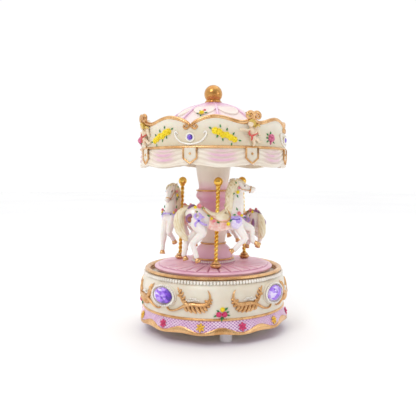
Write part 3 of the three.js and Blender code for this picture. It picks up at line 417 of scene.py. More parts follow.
class Paints:
    """Every finish on the music box."""

    # The crease colours given below are mostly painted shade, with some antiquing wash and tarnish.
    CREAM = Finish("cream_resin", "ivory_resin", "E9E1D2", "DED2BE", 0.4, coat=0.15, glow=0.08, clouds=0.05)
    # The canopy wall gets painted shade: its bands run darker towards its foot, where less light falls from above.
    WALL = ColumnPaint("canopy_wall_paint", "ivory_resin", "E3DAC8", "DACFBA", 0.36, coat=0.25, glow=0.08,
                       clouds=0.06, bands=((133, "D8C8AA"), (141, "E0D4BC"), (151, "ECE4D4")))
    COPPER = Finish("copper_gold_paint", "gold_paint", "E8BA84", "CC9860", 0.28, 0.82, 0.2,
                    grain=2.2, depth=0.12, crease_shade_and_patina="7A4420")
    LEAFGOLD = Finish("leaf_gold_paint", "gold_paint", "DDA85F", "C08440", 0.3, 0.82, 0.25, grain=1.2,
                      depth=0.1)
    PEARL = Finish("pearl_paint", "ivory_resin", "F6F1EA", "E9E2D8", 0.28, coat=0.5, depth=0.02)
    TWIST = Finish("twisted_brass", "polished_brass", "F9DA80", "E3B24C", 0.2, 1.0, grain=2.5, depth=0.03,
                   crease_shade_and_patina="8A5A14")
    BRASS = Finish("polished_brass_ball", "polished_brass", "F8D676", "E6B450", 0.14, 1.0, grain=2.0,
                   depth=0.01)
    # The disc's paint: painted shade in its grooves and on the step, and painted light on its petal ends.
    ROSEDISC = PetalPaint("rose_disc_paint", "pink_resin", "F0C4D3", "E6AEC5", 0.36, coat=0.25, clouds=0.09,
                      crease_shade_and_patina="C47A9A")
    NET = NetPaint("lilac_net_paint", "ivory_resin", "B06CB6", "BC7CBC", 0.42, depth=0.06)
    THREAD = Finish("lilac_thread_paint", "ivory_resin", "FBE6F6", "F3D2EC", 0.36, coat=0.2, clouds=0.2)
    SWAG = SwagPaint("swag_paint", "ivory_resin", "F3EBDC", "ECE1CF", 0.42, clouds=0.08, crease_shade_and_patina="DCC9BC",
                     first=22.5)
    DOME = DomePaint("dome_paint", "pink_resin", "F6EBDC", "F3E2DA", 0.38, coat=0.15, clouds=0.15,
                     crease_shade_and_patina="E3C3CB")
    DOMERIB = Finish("dome_rib_paint", "pink_resin", "F1D0E6", "E9BEDC", 0.34, coat=0.3, clouds=0.2)
    COLUMN = ColumnPaint(
        "column_paint", "ivory_resin", "D8CBBB", "E3D8CA", 0.36, coat=0.2, clouds=0.08,
        bands=((50, "E0ABC1"), (61, "E8B9C9"), (65, "DCC5B6"), (73, "E6D0C4"), (79, "ECC0CD"), (84, "ECA6C4"),
               (99, "ECAFC8"), (104, "EDC0D0"), (112, "EADACF"), (120, "E8DDCF")),
    )
    HORSE = Finish("horse_white", "horse_paint", "FAF5F1", "F6ECE7", 0.24, coat=0.5, glow=0.12, clouds=0.2,
                   depth=0.02, crease_shade_and_patina="EFDCD4")
    MANE = Finish("blond_hair_paint", "horse_paint", "F3E9D0", "E8D8B2", 0.36, coat=0.15, clouds=0.3,
                  grain=1.2, crease_shade_and_patina="D0AF78")
    SADDLE = Finish("saddle_paint", "horse_paint", "F3E9D4", "DEC9A2", 0.34, coat=0.2)
    BLANKET = Finish("blanket_paint", "horse_paint", "F0B4AA", "F7E0D6", 0.4, clouds=0.55, crease_shade_and_patina="DD9490")
    LILAC = Finish("pale_lilac_paint", "horse_paint", "F0E6F8", "DFD0F2", 0.34, coat=0.2, clouds=0.5)
    RIBBON = Finish("lilac_ribbon_paint", "horse_paint", "B99BE8", "CDB6F0", 0.34, coat=0.2, clouds=0.4)
    PLUM = Finish("plum_paint", "horse_paint", "9C6C9C", "8A5A6C", 0.38, clouds=0.35)
    CHESTNUT = Finish("chestnut_paint", "horse_paint", "A8694A", "8C5040", 0.34, clouds=0.4)
    VIOLET = Finish("violet_paint", "horse_paint", "5A46B4", "7A62CE", 0.34, clouds=0.4)
    EYE = Finish("eye_paint", "horse_paint", "1E1A2A", "2A2436", 0.15, coat=0.8)
    # Canopy stones: a deeper violet, with the same painted reflections on their facets.
    DEEPSTONE = StonePaint("deep_violet_stone", "violet_stone", "6B3CCB", "2F0D86", 0.12, 0.0, 0.6, depth=0.0,
                           painted_highlight="A78AE8")
    STONE = StonePaint("cut_violet_stone", "violet_stone", "A268F2", "4A0FA6", 0.12, 0.0, 0.6, depth=0.0)
    YELLOW = Finish("yellow_petal_paint", "ivory_resin", "FAE42A", "EFCF1C", 0.36, clouds=0.5,
                    crease_shade_and_patina="C79A10")
    GOLDEN = Finish("golden_petal_paint", "ivory_resin", "F2C444", "E3AC34", 0.34, clouds=0.5, crease_shade_and_patina="B67A1C")
    ROSE = Finish("rose_petal_paint", "ivory_resin", "E0487C", "C93468", 0.36, clouds=0.5, crease_shade_and_patina="96204A")
    DUSTY = Finish("dusty_rose_paint", "ivory_resin", "DE7A9C", "C65A82", 0.36, clouds=0.5, crease_shade_and_patina="96406A")
    BLUSH = Finish("blush_petal_paint", "ivory_resin", "F09AA6", "E8808E", 0.36, clouds=0.5,
                   crease_shade_and_patina="C25A66")
    LEAF = Finish("leaf_green_paint", "ivory_resin", "2E8B3F", "1F7034", 0.36, clouds=0.6)
    SKIN = Finish("cherub_paint", "ivory_resin", "EFDDC3", "E8D0B2", 0.36, clouds=0.3, crease_shade_and_patina="C9A27C")
    BLOND = Finish("cherub_hair_paint", "ivory_resin", "DDBF62", "CBA64A", 0.36, clouds=0.6)
    RED = Finish("sash_paint", "ivory_resin", "C9453C", "D8645A", 0.36, clouds=0.6)
    PLASTIC = Finish("white_plastic_moulding", "white_plastic", "F1F1EF", "E7E7E4", 0.4, depth=0.02)
    BOARD = Finish("pressed_board_fibre", "pressed_board", "D8C6A6", "C7B18C", 0.75, clouds=0.4, depth=0.12)
    GEARBRASS = Finish("turned_brass", "movement_brass", "D8B25C", "BF9440", 0.3, 1.0, grain=3.0)
    STEEL = Finish("satin_steel", "movement_steel", "AEB2B8", "94989E", 0.32, 1.0, grain=3.0)
    ZINC = Finish("cast_zinc", "zinc_casting", "BFC1C4", "A9ACB0", 0.45, 0.9, grain=1.2, depth=0.1)


# ---- Workshop: modelling steps -----------------------------------------------------------------------


def fresh(operator: Callable[..., set], **settings: object) -> bpy.types.Object:
    """Adds a primitive while nothing else is selected.

    Args:
        operator: the operator that adds it.
        **settings: its size and place.

    Returns:
        The new object.
    """
    bpy.ops.object.select_all(action="DESELECT")
    operator(**settings)
    return bpy.context.object


def choose(*pieces: bpy.types.Object) -> None:
    """Selects only these pieces and makes the first one active."""
    bpy.ops.object.select_all(action="DESELECT")
    for piece in pieces:
        piece.select_set(True)
    bpy.context.view_layer.objects.active = pieces[0]


class Editing:
    """Edit mode on one piece."""

    def __init__(self, piece: bpy.types.Object) -> None:
        """Remembers the piece."""
        self.piece = piece

    def __enter__(self) -> bmesh.types.BMesh:
        """Enters edit mode with all of the mesh selected."""
        choose(self.piece)
        bpy.ops.object.mode_set(mode="EDIT")
        bpy.ops.mesh.select_all(action="SELECT")
        return bmesh.from_edit_mesh(self.piece.data)

    def __exit__(self, *_: object) -> None:
        """Leaves edit mode."""
        bpy.ops.object.mode_set(mode="OBJECT")


def set_in_place(piece: bpy.types.Object) -> bpy.types.Object:
    """Puts the object's own place and size in its mesh."""
    choose(piece)
    bpy.ops.object.transform_apply(location=True, rotation=True, scale=True)
    return piece


def join(pieces: Sequence[bpy.types.Object]) -> bpy.types.Object:
    """Joins pieces into the first one."""
    for piece in pieces:
        set_in_place(piece)
    choose(*pieces)
    if len(pieces) > 1:
        bpy.ops.object.join()
    return bpy.context.object


def outward(piece: bpy.types.Object, gap: float = 0.01) -> bpy.types.Object:
    """Closes a mesh's seams and poles and turns its faces outwards."""
    with Editing(piece):
        bpy.ops.mesh.remove_doubles(threshold=gap)
        bpy.ops.mesh.normals_make_consistent(inside=False)
    return piece


def apply(piece: bpy.types.Object, kind: str, **settings: object) -> bpy.types.Object:
    """Adds a modifier and applies it.

    Args:
        piece: the piece.
        kind: the modifier's type.
        **settings: its settings.

    Returns:
        The piece.
    """
    modifier = piece.modifiers.new(kind.lower(), kind)
    for key, value in settings.items():
        setattr(modifier, key, value)
    choose(piece)
    bpy.ops.object.modifier_apply(modifier=modifier.name)
    return piece


def turn(outline: Sequence[Point], segments: int = 96, closed: bool = False) -> bpy.types.Object:
    """Turns an outline about the vertical axis, as on a lathe.

    Args:
        outline: [radius, height] points, with radius 0 on the axis.
        segments: steps round the axis.
        closed: whether the last point joins the first one, as in a ring.

    Returns:
        The turned piece.
    """
    points = [(max(r, 0.002), z) for r, z in outline] + ([tuple(outline[0])] if closed else [])
    (radius, level), rest = points[0], points[1:]
    piece = fresh(
        bpy.ops.mesh.primitive_circle_add, vertices=segments, radius=radius, location=(0, 0, level)
    )
    set_in_place(piece)
    with Editing(piece):
        for next_radius, next_level in rest:
            bpy.ops.mesh.extrude_region_move()
            share = next_radius / radius
            bpy.ops.transform.resize(value=(share, share, 1), center_override=(0, 0, level))
            bpy.ops.transform.translate(value=(0, 0, next_level - level))
            radius, level = next_radius, next_level
    return outward(piece)


def heading_of(x: float, y: float) -> float:
    """Heading in degrees of a point from the axis."""
    return math.degrees(math.atan2(x, -y))


def reshape(piece: bpy.types.Object, rule: Rule) -> bpy.types.Object:
    """Moves every point by a rule of its heading, radius and height.

    Args:
        piece: the piece.
        rule: gives the new radius and height.

    Returns:
        The piece.
    """
    for vertex in piece.data.vertices:
        x, y, z = vertex.co
        heading = math.atan2(x, -y)
        radius, level = rule(math.degrees(heading), math.hypot(x, y), z)
        vertex.co = (radius * math.sin(heading), -radius * math.cos(heading), level)
    return piece


def wrap(piece: bpy.types.Object, skin: Callable[[float], float], heading: float) -> bpy.types.Object:
    """Bends a piece modelled flat in X and Z, facing -Y, round the axis.

    Args:
        piece: the flat piece.
        skin: the radius of the surface behind it at a height.
        heading: where its X = 0 goes.

    Returns:
        The piece.
    """
    set_in_place(piece)
    for vertex in piece.data.vertices:
        x, y, z = vertex.co
        radius = skin(z)
        angle = math.radians(heading) + x / radius
        vertex.co = ((radius - y) * math.sin(angle), -(radius - y) * math.cos(angle), z)
    return piece


def flow(points: Sequence[Point], steps: int = 4) -> list[tuple[float, ...]]:
    """A smooth path through points of any number of values.

    Args:
        points: the points.
        steps: points made for each span.

    Returns:
        The smooth path's points.
    """
    ends = [points[0], *points, points[-1]]
    path = []
    for before, start, end, after in zip(ends, ends[1:], ends[2:], ends[3:]):
        for step in range(steps):
            t = step / steps
            path.append(tuple(
                0.5 * (2 * b + (c - a) * t + (2 * a - 5 * b + 4 * c - d) * t * t
                       + (3 * b - a - 3 * c + d) * t**3)
                for a, b, c, d in zip(before, start, end, after)
            ))
    return path + [tuple(points[-1])]


def pipe(points: Sequence[Point], sides: int = 8, closed: bool = False) -> bpy.types.Object:
    """A round rod along a path.

    Args:
        points: [x, y, z, radius] along the path.
        sides: sides of its section.
        closed: whether its end joins its start.

    Returns:
        The rod.
    """
    curve = bpy.data.curves.new("rod", "CURVE")
    curve.dimensions = "3D"
    curve.bevel_depth = 1.0
    curve.bevel_resolution = max(0, sides // 2 - 2)
    curve.use_fill_caps = not closed
    spline = curve.splines.new("POLY")
    spline.points.add(len(points) - 1)
    for knot, (x, y, z, radius) in zip(spline.points, points):
        knot.co = (x, y, z, 1)
        knot.radius = radius
    spline.use_cyclic_u = closed
    rod = bpy.data.objects.new("rod", curve)
    bpy.context.collection.objects.link(rod)
    choose(rod)
    bpy.ops.object.convert(target="MESH")
    return outward(bpy.context.object, 1e-4)


def flatten(piece: bpy.types.Object, scale: Point, about: Point = (0, 0, 0)) -> bpy.types.Object:
    """Scales a piece about a point."""
    with Editing(piece):
        bpy.ops.transform.resize(value=tuple(scale), center_override=tuple(about))
    return piece


def blob(centre: Point, radii: Point, tilt: Point = (0, 0, 0), sides: int = 12) -> bpy.types.Object:
    """A rounded lump.

    Args:
        centre: its middle.
        radii: its half sizes along X, Y and Z.
        tilt: its turns about X, Y and Z in degrees.
        sides: sides round it.

    Returns:
        The lump.
    """
    turned = tuple(math.radians(a) for a in tilt)
    return set_in_place(fresh(
        bpy.ops.mesh.primitive_uv_sphere_add, segments=sides, ring_count=max(4, sides * 2 // 3), radius=1,
        location=tuple(centre), rotation=turned, scale=tuple(radii),
    ))


def melt(parts: Sequence[bpy.types.Object], grain: float, passes: int = 4) -> bpy.types.Object:
    """Melts overlapping parts into one smooth cast skin.

    Args:
        parts: closed parts.
        grain: the skin's face size.
        passes: how often it is smoothed.

    Returns:
        The cast.
    """
    cast = join(parts)
    apply(cast, "REMESH", mode="VOXEL", voxel_size=grain)
    return apply(cast, "SMOOTH", factor=0.5, iterations=passes)


def copies(master: bpy.types.Object, places: Iterable[Matrix], keep: bool = False) -> bpy.types.Object:
    """Copies of a master, each with its own mesh, as one piece.

    Args:
        master: the modelled shape.
        places: where each copy goes.
        keep: whether the master stays for other pieces.

    Returns:
        The joined copies.
    """
    made = []
    for place in places:
        copy = master.copy()
        copy.data = master.data.copy()
        copy.data.transform(place)
        if place.determinant() < 0:
            copy.data.flip_normals()
        bpy.context.collection.objects.link(copy)
        made.append(copy)
    if not keep:
        bpy.data.objects.remove(master)
    choose(*made)
    if len(made) > 1:
        bpy.ops.object.join()
    return bpy.context.object


def on_wall(heading: float, radius: float, level: float, spin: float = 0.0, scale: float = 1.0,
            lean: float = 0.0) -> Matrix:
    """Where a thing modelled at the origin and facing -Y stands on a round wall.

    Args:
        heading: heading of the place.
        radius: its distance from the axis.
        level: its height.
        spin: turn in the wall's face, in degrees.
        scale: its size.
        lean: how far it leans back to face upwards, in degrees.

    Returns:
        The place.
    """
    return (
        Matrix.Rotation(math.radians(heading), 4, "Z")
        @ Matrix.Translation((0, -radius, level))
        @ Matrix.Rotation(math.radians(-lean), 4, "X")
        @ Matrix.Rotation(math.radians(spin), 4, "Y")
        @ Matrix.Scale(scale, 4)
    )


def between(level: float, stops: Sequence[Point]) -> float:
    """The value at a level, from [level, value] stops in rising order."""
    for (low, first), (high, second) in zip(stops, stops[1:]):
        if level <= high:
            share = max(0.0, (level - low) / (high - low))
            return first + (second - first) * share
    return stops[-1][1]


def deliver(piece: bpy.types.Object, name: str, body: Body, finish: Finish, stands_for: Sequence[str] = (),
            sharp: float = 40.0) -> bpy.types.Object:
    """Scales a piece to metres, paints it and lets it ride on its body.

    Args:
        piece: the modelled piece, in millimetres.
        name: what it is called.
        body: what it moves with.
        finish: its finish.
        stands_for: the CAD nodes that it is shown in place of.
        sharp: the angle above which an edge stays sharp, in degrees.

    Returns:
        The piece.
    """
    set_in_place(piece)
    piece.data.transform(Matrix.Scale(MM, 4))
    choose(piece)
    bpy.ops.object.shade_smooth_by_angle(angle=math.radians(sharp))
    piece.name = piece.data.name = name
    piece.data.materials.clear()
    piece.data.materials.append(finish.material())
    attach(piece, body.value)
    if stands_for:
        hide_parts(*stands_for)
    log.info("%s rides on %s, %d faces", name, body.value, len(piece.data.polygons))
    return piece


# ---- Small ornaments ---------------------------------------------------------------------------------


class Bloom(Enum):
    """The kinds of modelled flower."""

    ROSE = "rose"
    DAISY = "daisy"
    LEAF = "leaf"


@dataclass
class Planting:
    """One painted flower or leaf and where it is set."""

    bloom: Bloom
    finish: Finish
    place: Matrix


@dataclass
class Garden:
    """Flowers and leaves of one sub-assembly, gathered by kind and paint."""

    body: Body
    prefix: str
    plantings: list[Planting] = field(default_factory=list)

    def plant(self, bloom: Bloom, finish: Finish, place: Matrix) -> None:
        """Adds one flower or leaf."""
        self.plantings.append(Planting(bloom, finish, place))

    def rose(self) -> bpy.types.Object:
        """A rose of 1 mm radius: a bud in two rounds of cupped petals."""
        parts = [blob((0, -0.62, 0), (0.3, 0.34, 0.3), sides=8)]
        for count, radius, size, depth, start in ((3, 0.3, 0.4, 0.5, 20), (5, 0.62, 0.46, 0.28, 0)):
            for k in range(count):
                angle = math.radians(start + 360 / count * k)
                middle = (radius * math.cos(angle), -depth, radius * math.sin(angle))
                parts.append(blob(middle, (0.24, 0.36, size), (0, -math.degrees(angle), 0), 8))
        return join(parts)

    def daisy(self) -> bpy.types.Object:
        """A flower of 1 mm radius with six notched petals."""
        parts = [blob((0, -0.32, 0), (0.26, 0.26, 0.26), sides=8)]
        for k in range(6):
            angle = math.radians(60 * k)
            middle = (0.62 * math.cos(angle), -0.16, 0.62 * math.sin(angle))
            parts.append(blob(middle, (0.42, 0.2, 0.28), (0, -math.degrees(angle), 0), 8))
        return join(parts)

    def leaf(self) -> bpy.types.Object:
        """A leaf 1 mm long that points up, with a raised vein."""
        blade = blob((0, -0.1, 0.5), (0.3, 0.14, 0.5), sides=10)
        for vertex in blade.data.vertices:
            along = vertex.co.z
            vertex.co.x *= 1.15 - 0.75 * along
            vertex.co.y -= 0.1 * along * along
        vein = pipe([(0, -0.2, 0.06, 0.05), (0, -0.26, 0.5, 0.05), (0, -0.26, 0.9, 0.02)], 4)
        return join([blade, vein])

    def grow(self) -> None:
        """Makes one piece for each kind and paint."""
        makers = {Bloom.ROSE: self.rose, Bloom.DAISY: self.daisy, Bloom.LEAF: self.leaf}
        groups: dict[tuple[Bloom, str], list[Planting]] = {}
        for planting in self.plantings:
            groups.setdefault((planting.bloom, planting.finish.name), []).append(planting)
        for (bloom, paint), group in groups.items():
            piece = copies(makers[bloom](), [planting.place for planting in group])
            name = f"{self.prefix}_{bloom.value}_{paint.split('_')[0]}"
            deliver(piece, name, self.body, group[0].finish, sharp=60)


def bead_ring(radius: float, level: float, count: int, size: Point) -> bpy.types.Object:
    """A string of beads round the axis.

    Args:
        radius: distance of the beads' middles from the axis.
        level: their height.
        count: how many there are.
        size: a bead's half sizes.

    Returns:
        The string.
    """
    bead = blob((0, 0, 0), size, sides=8)
    return copies(bead, [on_wall(360 / count * k, radius, level) for k in range(count)])


def oval_beads(width: float, height: float, count: int, size: float, proud: float) -> bpy.types.Object:
    """Beads on an upright oval that faces -Y, proud of the surface."""
    bead = blob((0, 0, 0), (size, size, size), sides=8)
    places = []
    for k in range(count):
        angle = TAU * k / count
        places.append(Matrix.Translation((width * math.cos(angle), -proud, height * math.sin(angle))))
    return copies(bead, places)


def faceted_stone(width: float, height: float, depth: float, sides: int) -> bpy.types.Object:
    """An oval stone cut in four rows of facets, its flat back at the origin and its table facing -Y.

    Args:
        width: across.
        height: from bottom to top.
        depth: from back to table.
        sides: facets in a row.

    Returns:
        The stone.
    """
    stone = turn([(0, 0), (0.94, 0), (1, 0.22), (0.86, 0.62), (0.6, 0.88), (0.3, 1), (0, 1)], sides)
    for vertex in stone.data.vertices:
        x, y, z = vertex.co
        row = round(z * 10) % 2 * math.pi / sides
        x, y = x * math.cos(row) - y * math.sin(row), x * math.sin(row) + y * math.cos(row)
        vertex.co = (x * width / 2, -z * depth, y * height / 2)
    with Editing(stone):
        bpy.ops.mesh.quads_convert_to_tris(quad_method="SHORTEST_DIAGONAL")
        bpy.ops.mesh.normals_make_consistent(inside=False)
    # Painted reflection for each facet, read by the stone's paint.
    painted_reflection = stone.data.color_attributes.new("facet", "FLOAT_COLOR", "CORNER")
    for face in stone.data.polygons:
        # A random brightness for each facet, painted lighter on the stone's left side where the highlight falls.
        share = (face.index * 0.618) % 1 * 0.75 + 0.12 - 0.75 * face.center.x / width
        for corner in face.loop_indices:
            painted_reflection.data[corner].color = (share, share, share, 1)
    return stone


def spiral(centre: Point, radius: float, inner: float, start: float, turns: float, thick: Point,
           steps: int = 18) -> list[tuple[float, float, float, float]]:
    """A volute in the X-Z plane, from its inner end outwards.

    Args:
        centre: its X and Z.
        radius: its outer radius.
        inner: its inner radius.
        start: heading of its outer end in degrees, from +X towards +Z.
        turns: turns from the inner to the outer end, negative for clockwise.
        thick: rod radius at the inner and the outer end.
        steps: points.

    Returns:
        The points of the volute.
    """
    points = []
    for k in range(steps + 1):
        share = k / steps
        angle = math.radians(start) - TAU * turns * (1 - share)
        reach = inner + (radius - inner) * share
        rod = thick[0] + (thick[1] - thick[0]) * share
        points.append((centre[0] + reach * math.cos(angle), 0.0, centre[1] + reach * math.sin(angle), rod))
    return points


# ---- Drum --------------------------------------------------------------------------------------------


@dataclass
class Drum:
    """The bulged drum with its gold rim, pearls, scrolls, stones and scalloped skirt."""

    quarters: int = 4
    gem_heading: float = 45.0
    gem_level: float = 32.4
    lobes: int = 12
    first_flower: float = 15.0
    flower_level: float = 12.9
    threads: int = 11
    pearls: int = 144
    wall: tuple[Point, ...] = ((16, 53.0), (19.2, 53.3), (22.5, 53.9), (27, 54.2), (32, 54.3), (36, 54.0),
                               (38.6, 53.3), (40.2, 52.4), (41.4, 51.2), (48, 50.8))
    skirt: tuple[Point, ...] = ((6, 55.5), (9, 55.3), (11, 54.9), (14, 53.9), (17.2, 53.0))

    def skin(self, level: float) -> float:
        """Radius of the drum's wall at a height."""
        return between(level, self.wall)

    def swing(self, heading: float) -> float:
        """1 in the middle of a skirt lobe, where its flower is, and -1 between lobes."""
        return math.cos(math.radians(self.lobes * (heading - self.first_flower)))

    def skirt_skin(self, heading: float, level: float) -> float:
        """Radius of the skirt at a heading and height."""
        return between(level, self.skirt) + 0.45 * self.swing(heading) * max(0.0, (17 - level) / 9)

    def shell(self) -> None:
        """The cream body, hollow and open below."""
        outer = [(r, z) for z, r in flow(self.wall[:-1], 3)]
        inner = [(50.8, 43.8), (48.2, 43.8), (47.8, 41.8), (6, 41.8), (6, 38), (44.5, 38), (44.5, 12.4),
                 (49, 12.4), (49, 16)]
        body = turn(outer + inner, 144, closed=True)
        deliver(body, "drum_body", Body.BASE, Paints.CREAM, ["base_shell"])

    def rim(self) -> None:
        """The gold lip round the turning disc's well, and the gold line over the skirt."""
        lip = [(47.6, 41.9), (50.2, 44.2), (51.2, 44.4), (51.8, 44.9), (51.7, 45.7), (50.9, 46.3), (49.8, 46.5),
               (48.6, 46.1), (47.8, 45.2), (47.6, 44.4)]
        deliver(turn(lip, 144, closed=True), "drum_gold_lip", Body.BASE, Paints.COPPER)
        line = [(53.0 + 1.05 * math.cos(a), 17.9 + 1.0 * math.sin(a)) for a in (TAU * k / 10 for k in range(10))]
        deliver(turn(line, 144, closed=True), "drum_gold_line", Body.BASE, Paints.COPPER)
        pearls = bead_ring(51.9, 42.5, self.pearls, (1.0, 1.15, 1.4))
        deliver(pearls, "drum_pearls", Body.BASE, Paints.PEARL, sharp=80)

    def skirting(self) -> None:
        """The netted skirt and its wavy gold border."""
        outer = [(r, z) for z, r in flow(((8.2, 55.4), (9, 55.3), (11, 54.9), (14, 53.9), (17.2, 53.0)), 4)]
        net = turn(outer + [(49, 17.2), (49, 8.2)], 192, closed=True)

        def hang(heading: float, radius: float, level: float) -> tuple[float, float]:
            """Lobes of the skirt."""
            if radius < 50:
                return radius, level
            drop = 0.45 * self.swing(heading) * max(0.0, 1 - (level - 8.2) / 4)
            return self.skirt_skin(heading, level), level - drop

        deliver(reshape(net, hang), "skirt_cloth", Body.BASE, Paints.NET)
        threads = []
        for k in range(self.threads):
            for lean in (-1, 1):
                path = []
                for step in range(17):
                    level = 17.4 - 8.2 * step / 16
                    degrees = 30 * k / self.threads + lean * 1.4 * 8.2 * step / 16
                    if level < 11 - 1.7 * self.swing(degrees):
                        break
                    heading = math.radians(degrees)
                    radius = self.skirt_skin(degrees, level) + 0.1
                    path.append((radius * math.sin(heading), -radius * math.cos(heading), level, 0.33))
                threads.append(pipe(path, 4))
        around = [Matrix.Rotation(TAU / self.lobes * k, 4, "Z") for k in range(self.lobes)]
        deliver(copies(join(threads), around), "skirt_net", Body.BASE, Paints.THREAD, sharp=80)
        section = [(-0.5, 0), (0.25, -0.02), (0.62, 0.12), (0.68, 0.5), (0.62, 0.88), (0.25, 1.02), (-0.5, 1)]
        border = turn([(56 + out, z) for out, z in section], 192, closed=True)

        def edge(heading: float, radius: float, level: float) -> tuple[float, float]:
            """The border's wavy upper edge over its gently scalloped lower one."""
            swing = self.swing(heading)
            low, high = 8.05 - 0.45 * swing, 11.1 - 1.7 * swing
            height = low + level * (high - low)
            proud = min(0.55, radius - 56)
            return self.skirt_skin(heading, height) + proud, height

        deliver(reshape(border, edge), "skirt_gold_border", Body.BASE, Paints.COPPER)

    def flowers(self) -> None:
        """Skirt flowers and the rose bouquets between the stones."""
        garden = Garden(Body.BASE, "drum")
        for k in range(self.lobes):
            heading = self.first_flower + 360 / self.lobes * k
            paint = Paints.ROSE if k % 2 == 0 else Paints.GOLDEN
            radius = self.skirt_skin(heading, self.flower_level) + 0.1
            garden.plant(Bloom.DAISY, paint, on_wall(heading, radius + 0.3, self.flower_level, 30 + 17 * k, 3.0, 14))
        for k in range(self.quarters):
            heading = 360 / self.quarters * k
            for across, level, paint, size in ((-1.9, 21.9, Paints.ROSE, 2.3), (2.0, 21.8, Paints.ROSE, 2.3),
                                               (0.5, 25.3, Paints.YELLOW, 1.9)):
                place = on_wall(heading + across * 1.05, self.skin(level), level, 40 * across, size)
                garden.plant(Bloom.ROSE, paint, place)
            for across, level, spin, size in ((-3.4, 21.2, -115, 2.4), (3.6, 21.4, 105, 2.4), (0, 20.2, 180, 3.2),
                                              (1.8, 24.6, 50, 3.2), (-1.6, 23.6, -55, 2.4), (3.2, 23.0, 70, 2.2),
                                              (0.6, 20.2, 150, 2.0)):
                place = on_wall(heading + across * 1.05, self.skin(level) + 0.1, level, spin, size)
                garden.plant(Bloom.LEAF, Paints.LEAF, place)
        garden.grow()

    def scroll(self) -> bpy.types.Object:
        """One acanthus scroll, flat, to the right of a bouquet at X = 0."""
        rods = [
            ((9.4, 38.8, 0.3), (8.3, 36.9, 0.55), (7.8, 34.4, 0.85), (8.2, 32, 1.05), (9.6, 30, 1.25),
             (12, 28.9, 1.4), (16, 28.8, 1.5), (20, 29, 1.5), (24, 28.2, 1.35), (27.6, 26.4, 1.05),
             (31, 24.5, 0.85), (34.6, 23.3, 0.7), (37.6, 23.4, 0.6), (39.2, 24.8, 0.6), (38.7, 26.4, 0.55),
             (37.3, 26.3, 0.5)),
            ((30.4, 39.8, 0.3), (29.6, 37.6, 0.55), (28.5, 35, 0.8), (27.4, 32.6, 1), (26, 30.4, 1.2),
             (23.4, 28.8, 1.2)),
        ]
        leaves = [((12, 28.6), (10.8, 26.2), (9.4, 25)), ((14.4, 28.6), (13, 25.6), (11, 23.6)),
                  ((17.2, 28.4), (15.8, 25.2), (13.6, 23)), ((20, 28.4), (18.8, 25), (16.8, 22.8)),
                  ((22.8, 28), (21.6, 25.2), (20, 23)), ((25, 27), (24.2, 25.2), (23, 23.8)),
                  ((10.6, 29.6), (8.8, 28.2), (7.6, 27.6)), ((8.4, 33), (6.9, 32.2), (6.2, 32.8)),
                  ((8.6, 31.2), (7.2, 30), (6.4, 30.2)), ((9, 31.8), (10.6, 31.4), (11.4, 32.4)),
                  ((27.4, 32.4), (25.6, 33), (25, 34.4)), ((28.4, 34.8), (26.8, 35.6), (26.4, 37)),
                  ((26.4, 30.8), (24.4, 31), (23.6, 32.2)), ((28, 34), (29.6, 34.2), (30.4, 35)),
                  ((29, 36.4), (28, 37.6), (28, 38.8))]
        parts = [pipe(flow([(x, -0.35, z, r) for x, z, r in rod], 3), 8) for rod in rods]
        for k, leaf in enumerate(leaves):
            size = 1.2 if k < 7 else 0.85
            widths = (size * 0.8, size, size * 0.4)
            parts.append(pipe(flow([(x, -0.4, z, r) for (x, z), r in zip(leaf, widths)], 4), 8))
        acanthus = melt(parts, 0.3, 2)
        for vertex in acanthus.data.vertices:
            vertex.co.y *= 1.4
            vertex.co.z -= 0.5
        return acanthus

    def scrolls(self) -> None:
        """Mirrored pairs of scrolls about each bouquet, each with its few pearls."""
        half = self.scroll()
        mirrored = copies(half, [Matrix.Scale(-1, 4, (1, 0, 0))], keep=True)
        pair = join([half, mirrored])
        pearl = blob((0, 0, 0), (0.62, 0.7, 0.62), sides=6)
        rows = [(side * (15.4 + 1.2 * k), -0.8, 31.2 + 0.45 * math.sin(k * 0.9)) for side in (-1, 1)
                for k in range(8)]
        rows += [(side * (17.4 + 1.2 * k), -0.8, 32.4) for side in (-1, 1) for k in range(4)]
        pearls = copies(pearl, [Matrix.Translation(row) for row in rows])
        for flat, name, finish in ((pair, "drum_scrolls", Paints.COPPER), (pearls, "scroll_pearls", Paints.PEARL)):
            wrap(flat, self.skin, 0)
            turns = [Matrix.Rotation(TAU / self.quarters * k, 4, "Z") for k in range(self.quarters)]
            deliver(copies(flat, turns), name, Body.BASE, finish, sharp=80)

    def stones(self) -> None:
        """Oval stones in pearled frames."""
        level = self.gem_level
        frame_ring = pipe([(10.3 * math.cos(a), -0.25, 7.0 * math.sin(a) + level, 1.0)
                           for a in (TAU * k / 40 for k in range(40))], 10, closed=True)
        boss = blob((0, 0, level), (10.2, 1.1, 7.0), sides=40)
        frames = wrap(melt([frame_ring, boss], 0.35, 3), self.skin, self.gem_heading)
        beads = oval_beads(9.75, 6.9, 34, 0.78, 2.2)
        beads.data.transform(Matrix.Translation((0, 0, level)))
        wrap(beads, self.skin, self.gem_heading)
        turns = [Matrix.Rotation(TAU / self.quarters * k, 4, "Z") for k in range(self.quarters)]
        deliver(copies(frames, turns), "stone_frames", Body.BASE, Paints.CREAM, sharp=80)
        deliver(copies(beads, turns), "stone_pearls", Body.BASE, Paints.PEARL, sharp=80)
        for k in range(self.quarters):
            stone = faceted_stone(17.0, 11.4, 3.4, 12)
            place = on_wall(self.gem_heading + 90 * k - 90, 54.7, level)
            stone.data.transform(place)
            deliver(stone, f"drum_stone_{k + 1}", Body.BASE, Paints.STONE, [f"base_gem_{k + 1}"], sharp=1)

    def build(self) -> None:
        """Makes all of the drum."""
        self.shell()
        self.rim()
        self.skirting()
        self.flowers()
        self.scrolls()
        self.stones()


# ---- Turning disc and column -------------------------------------------------------------------------


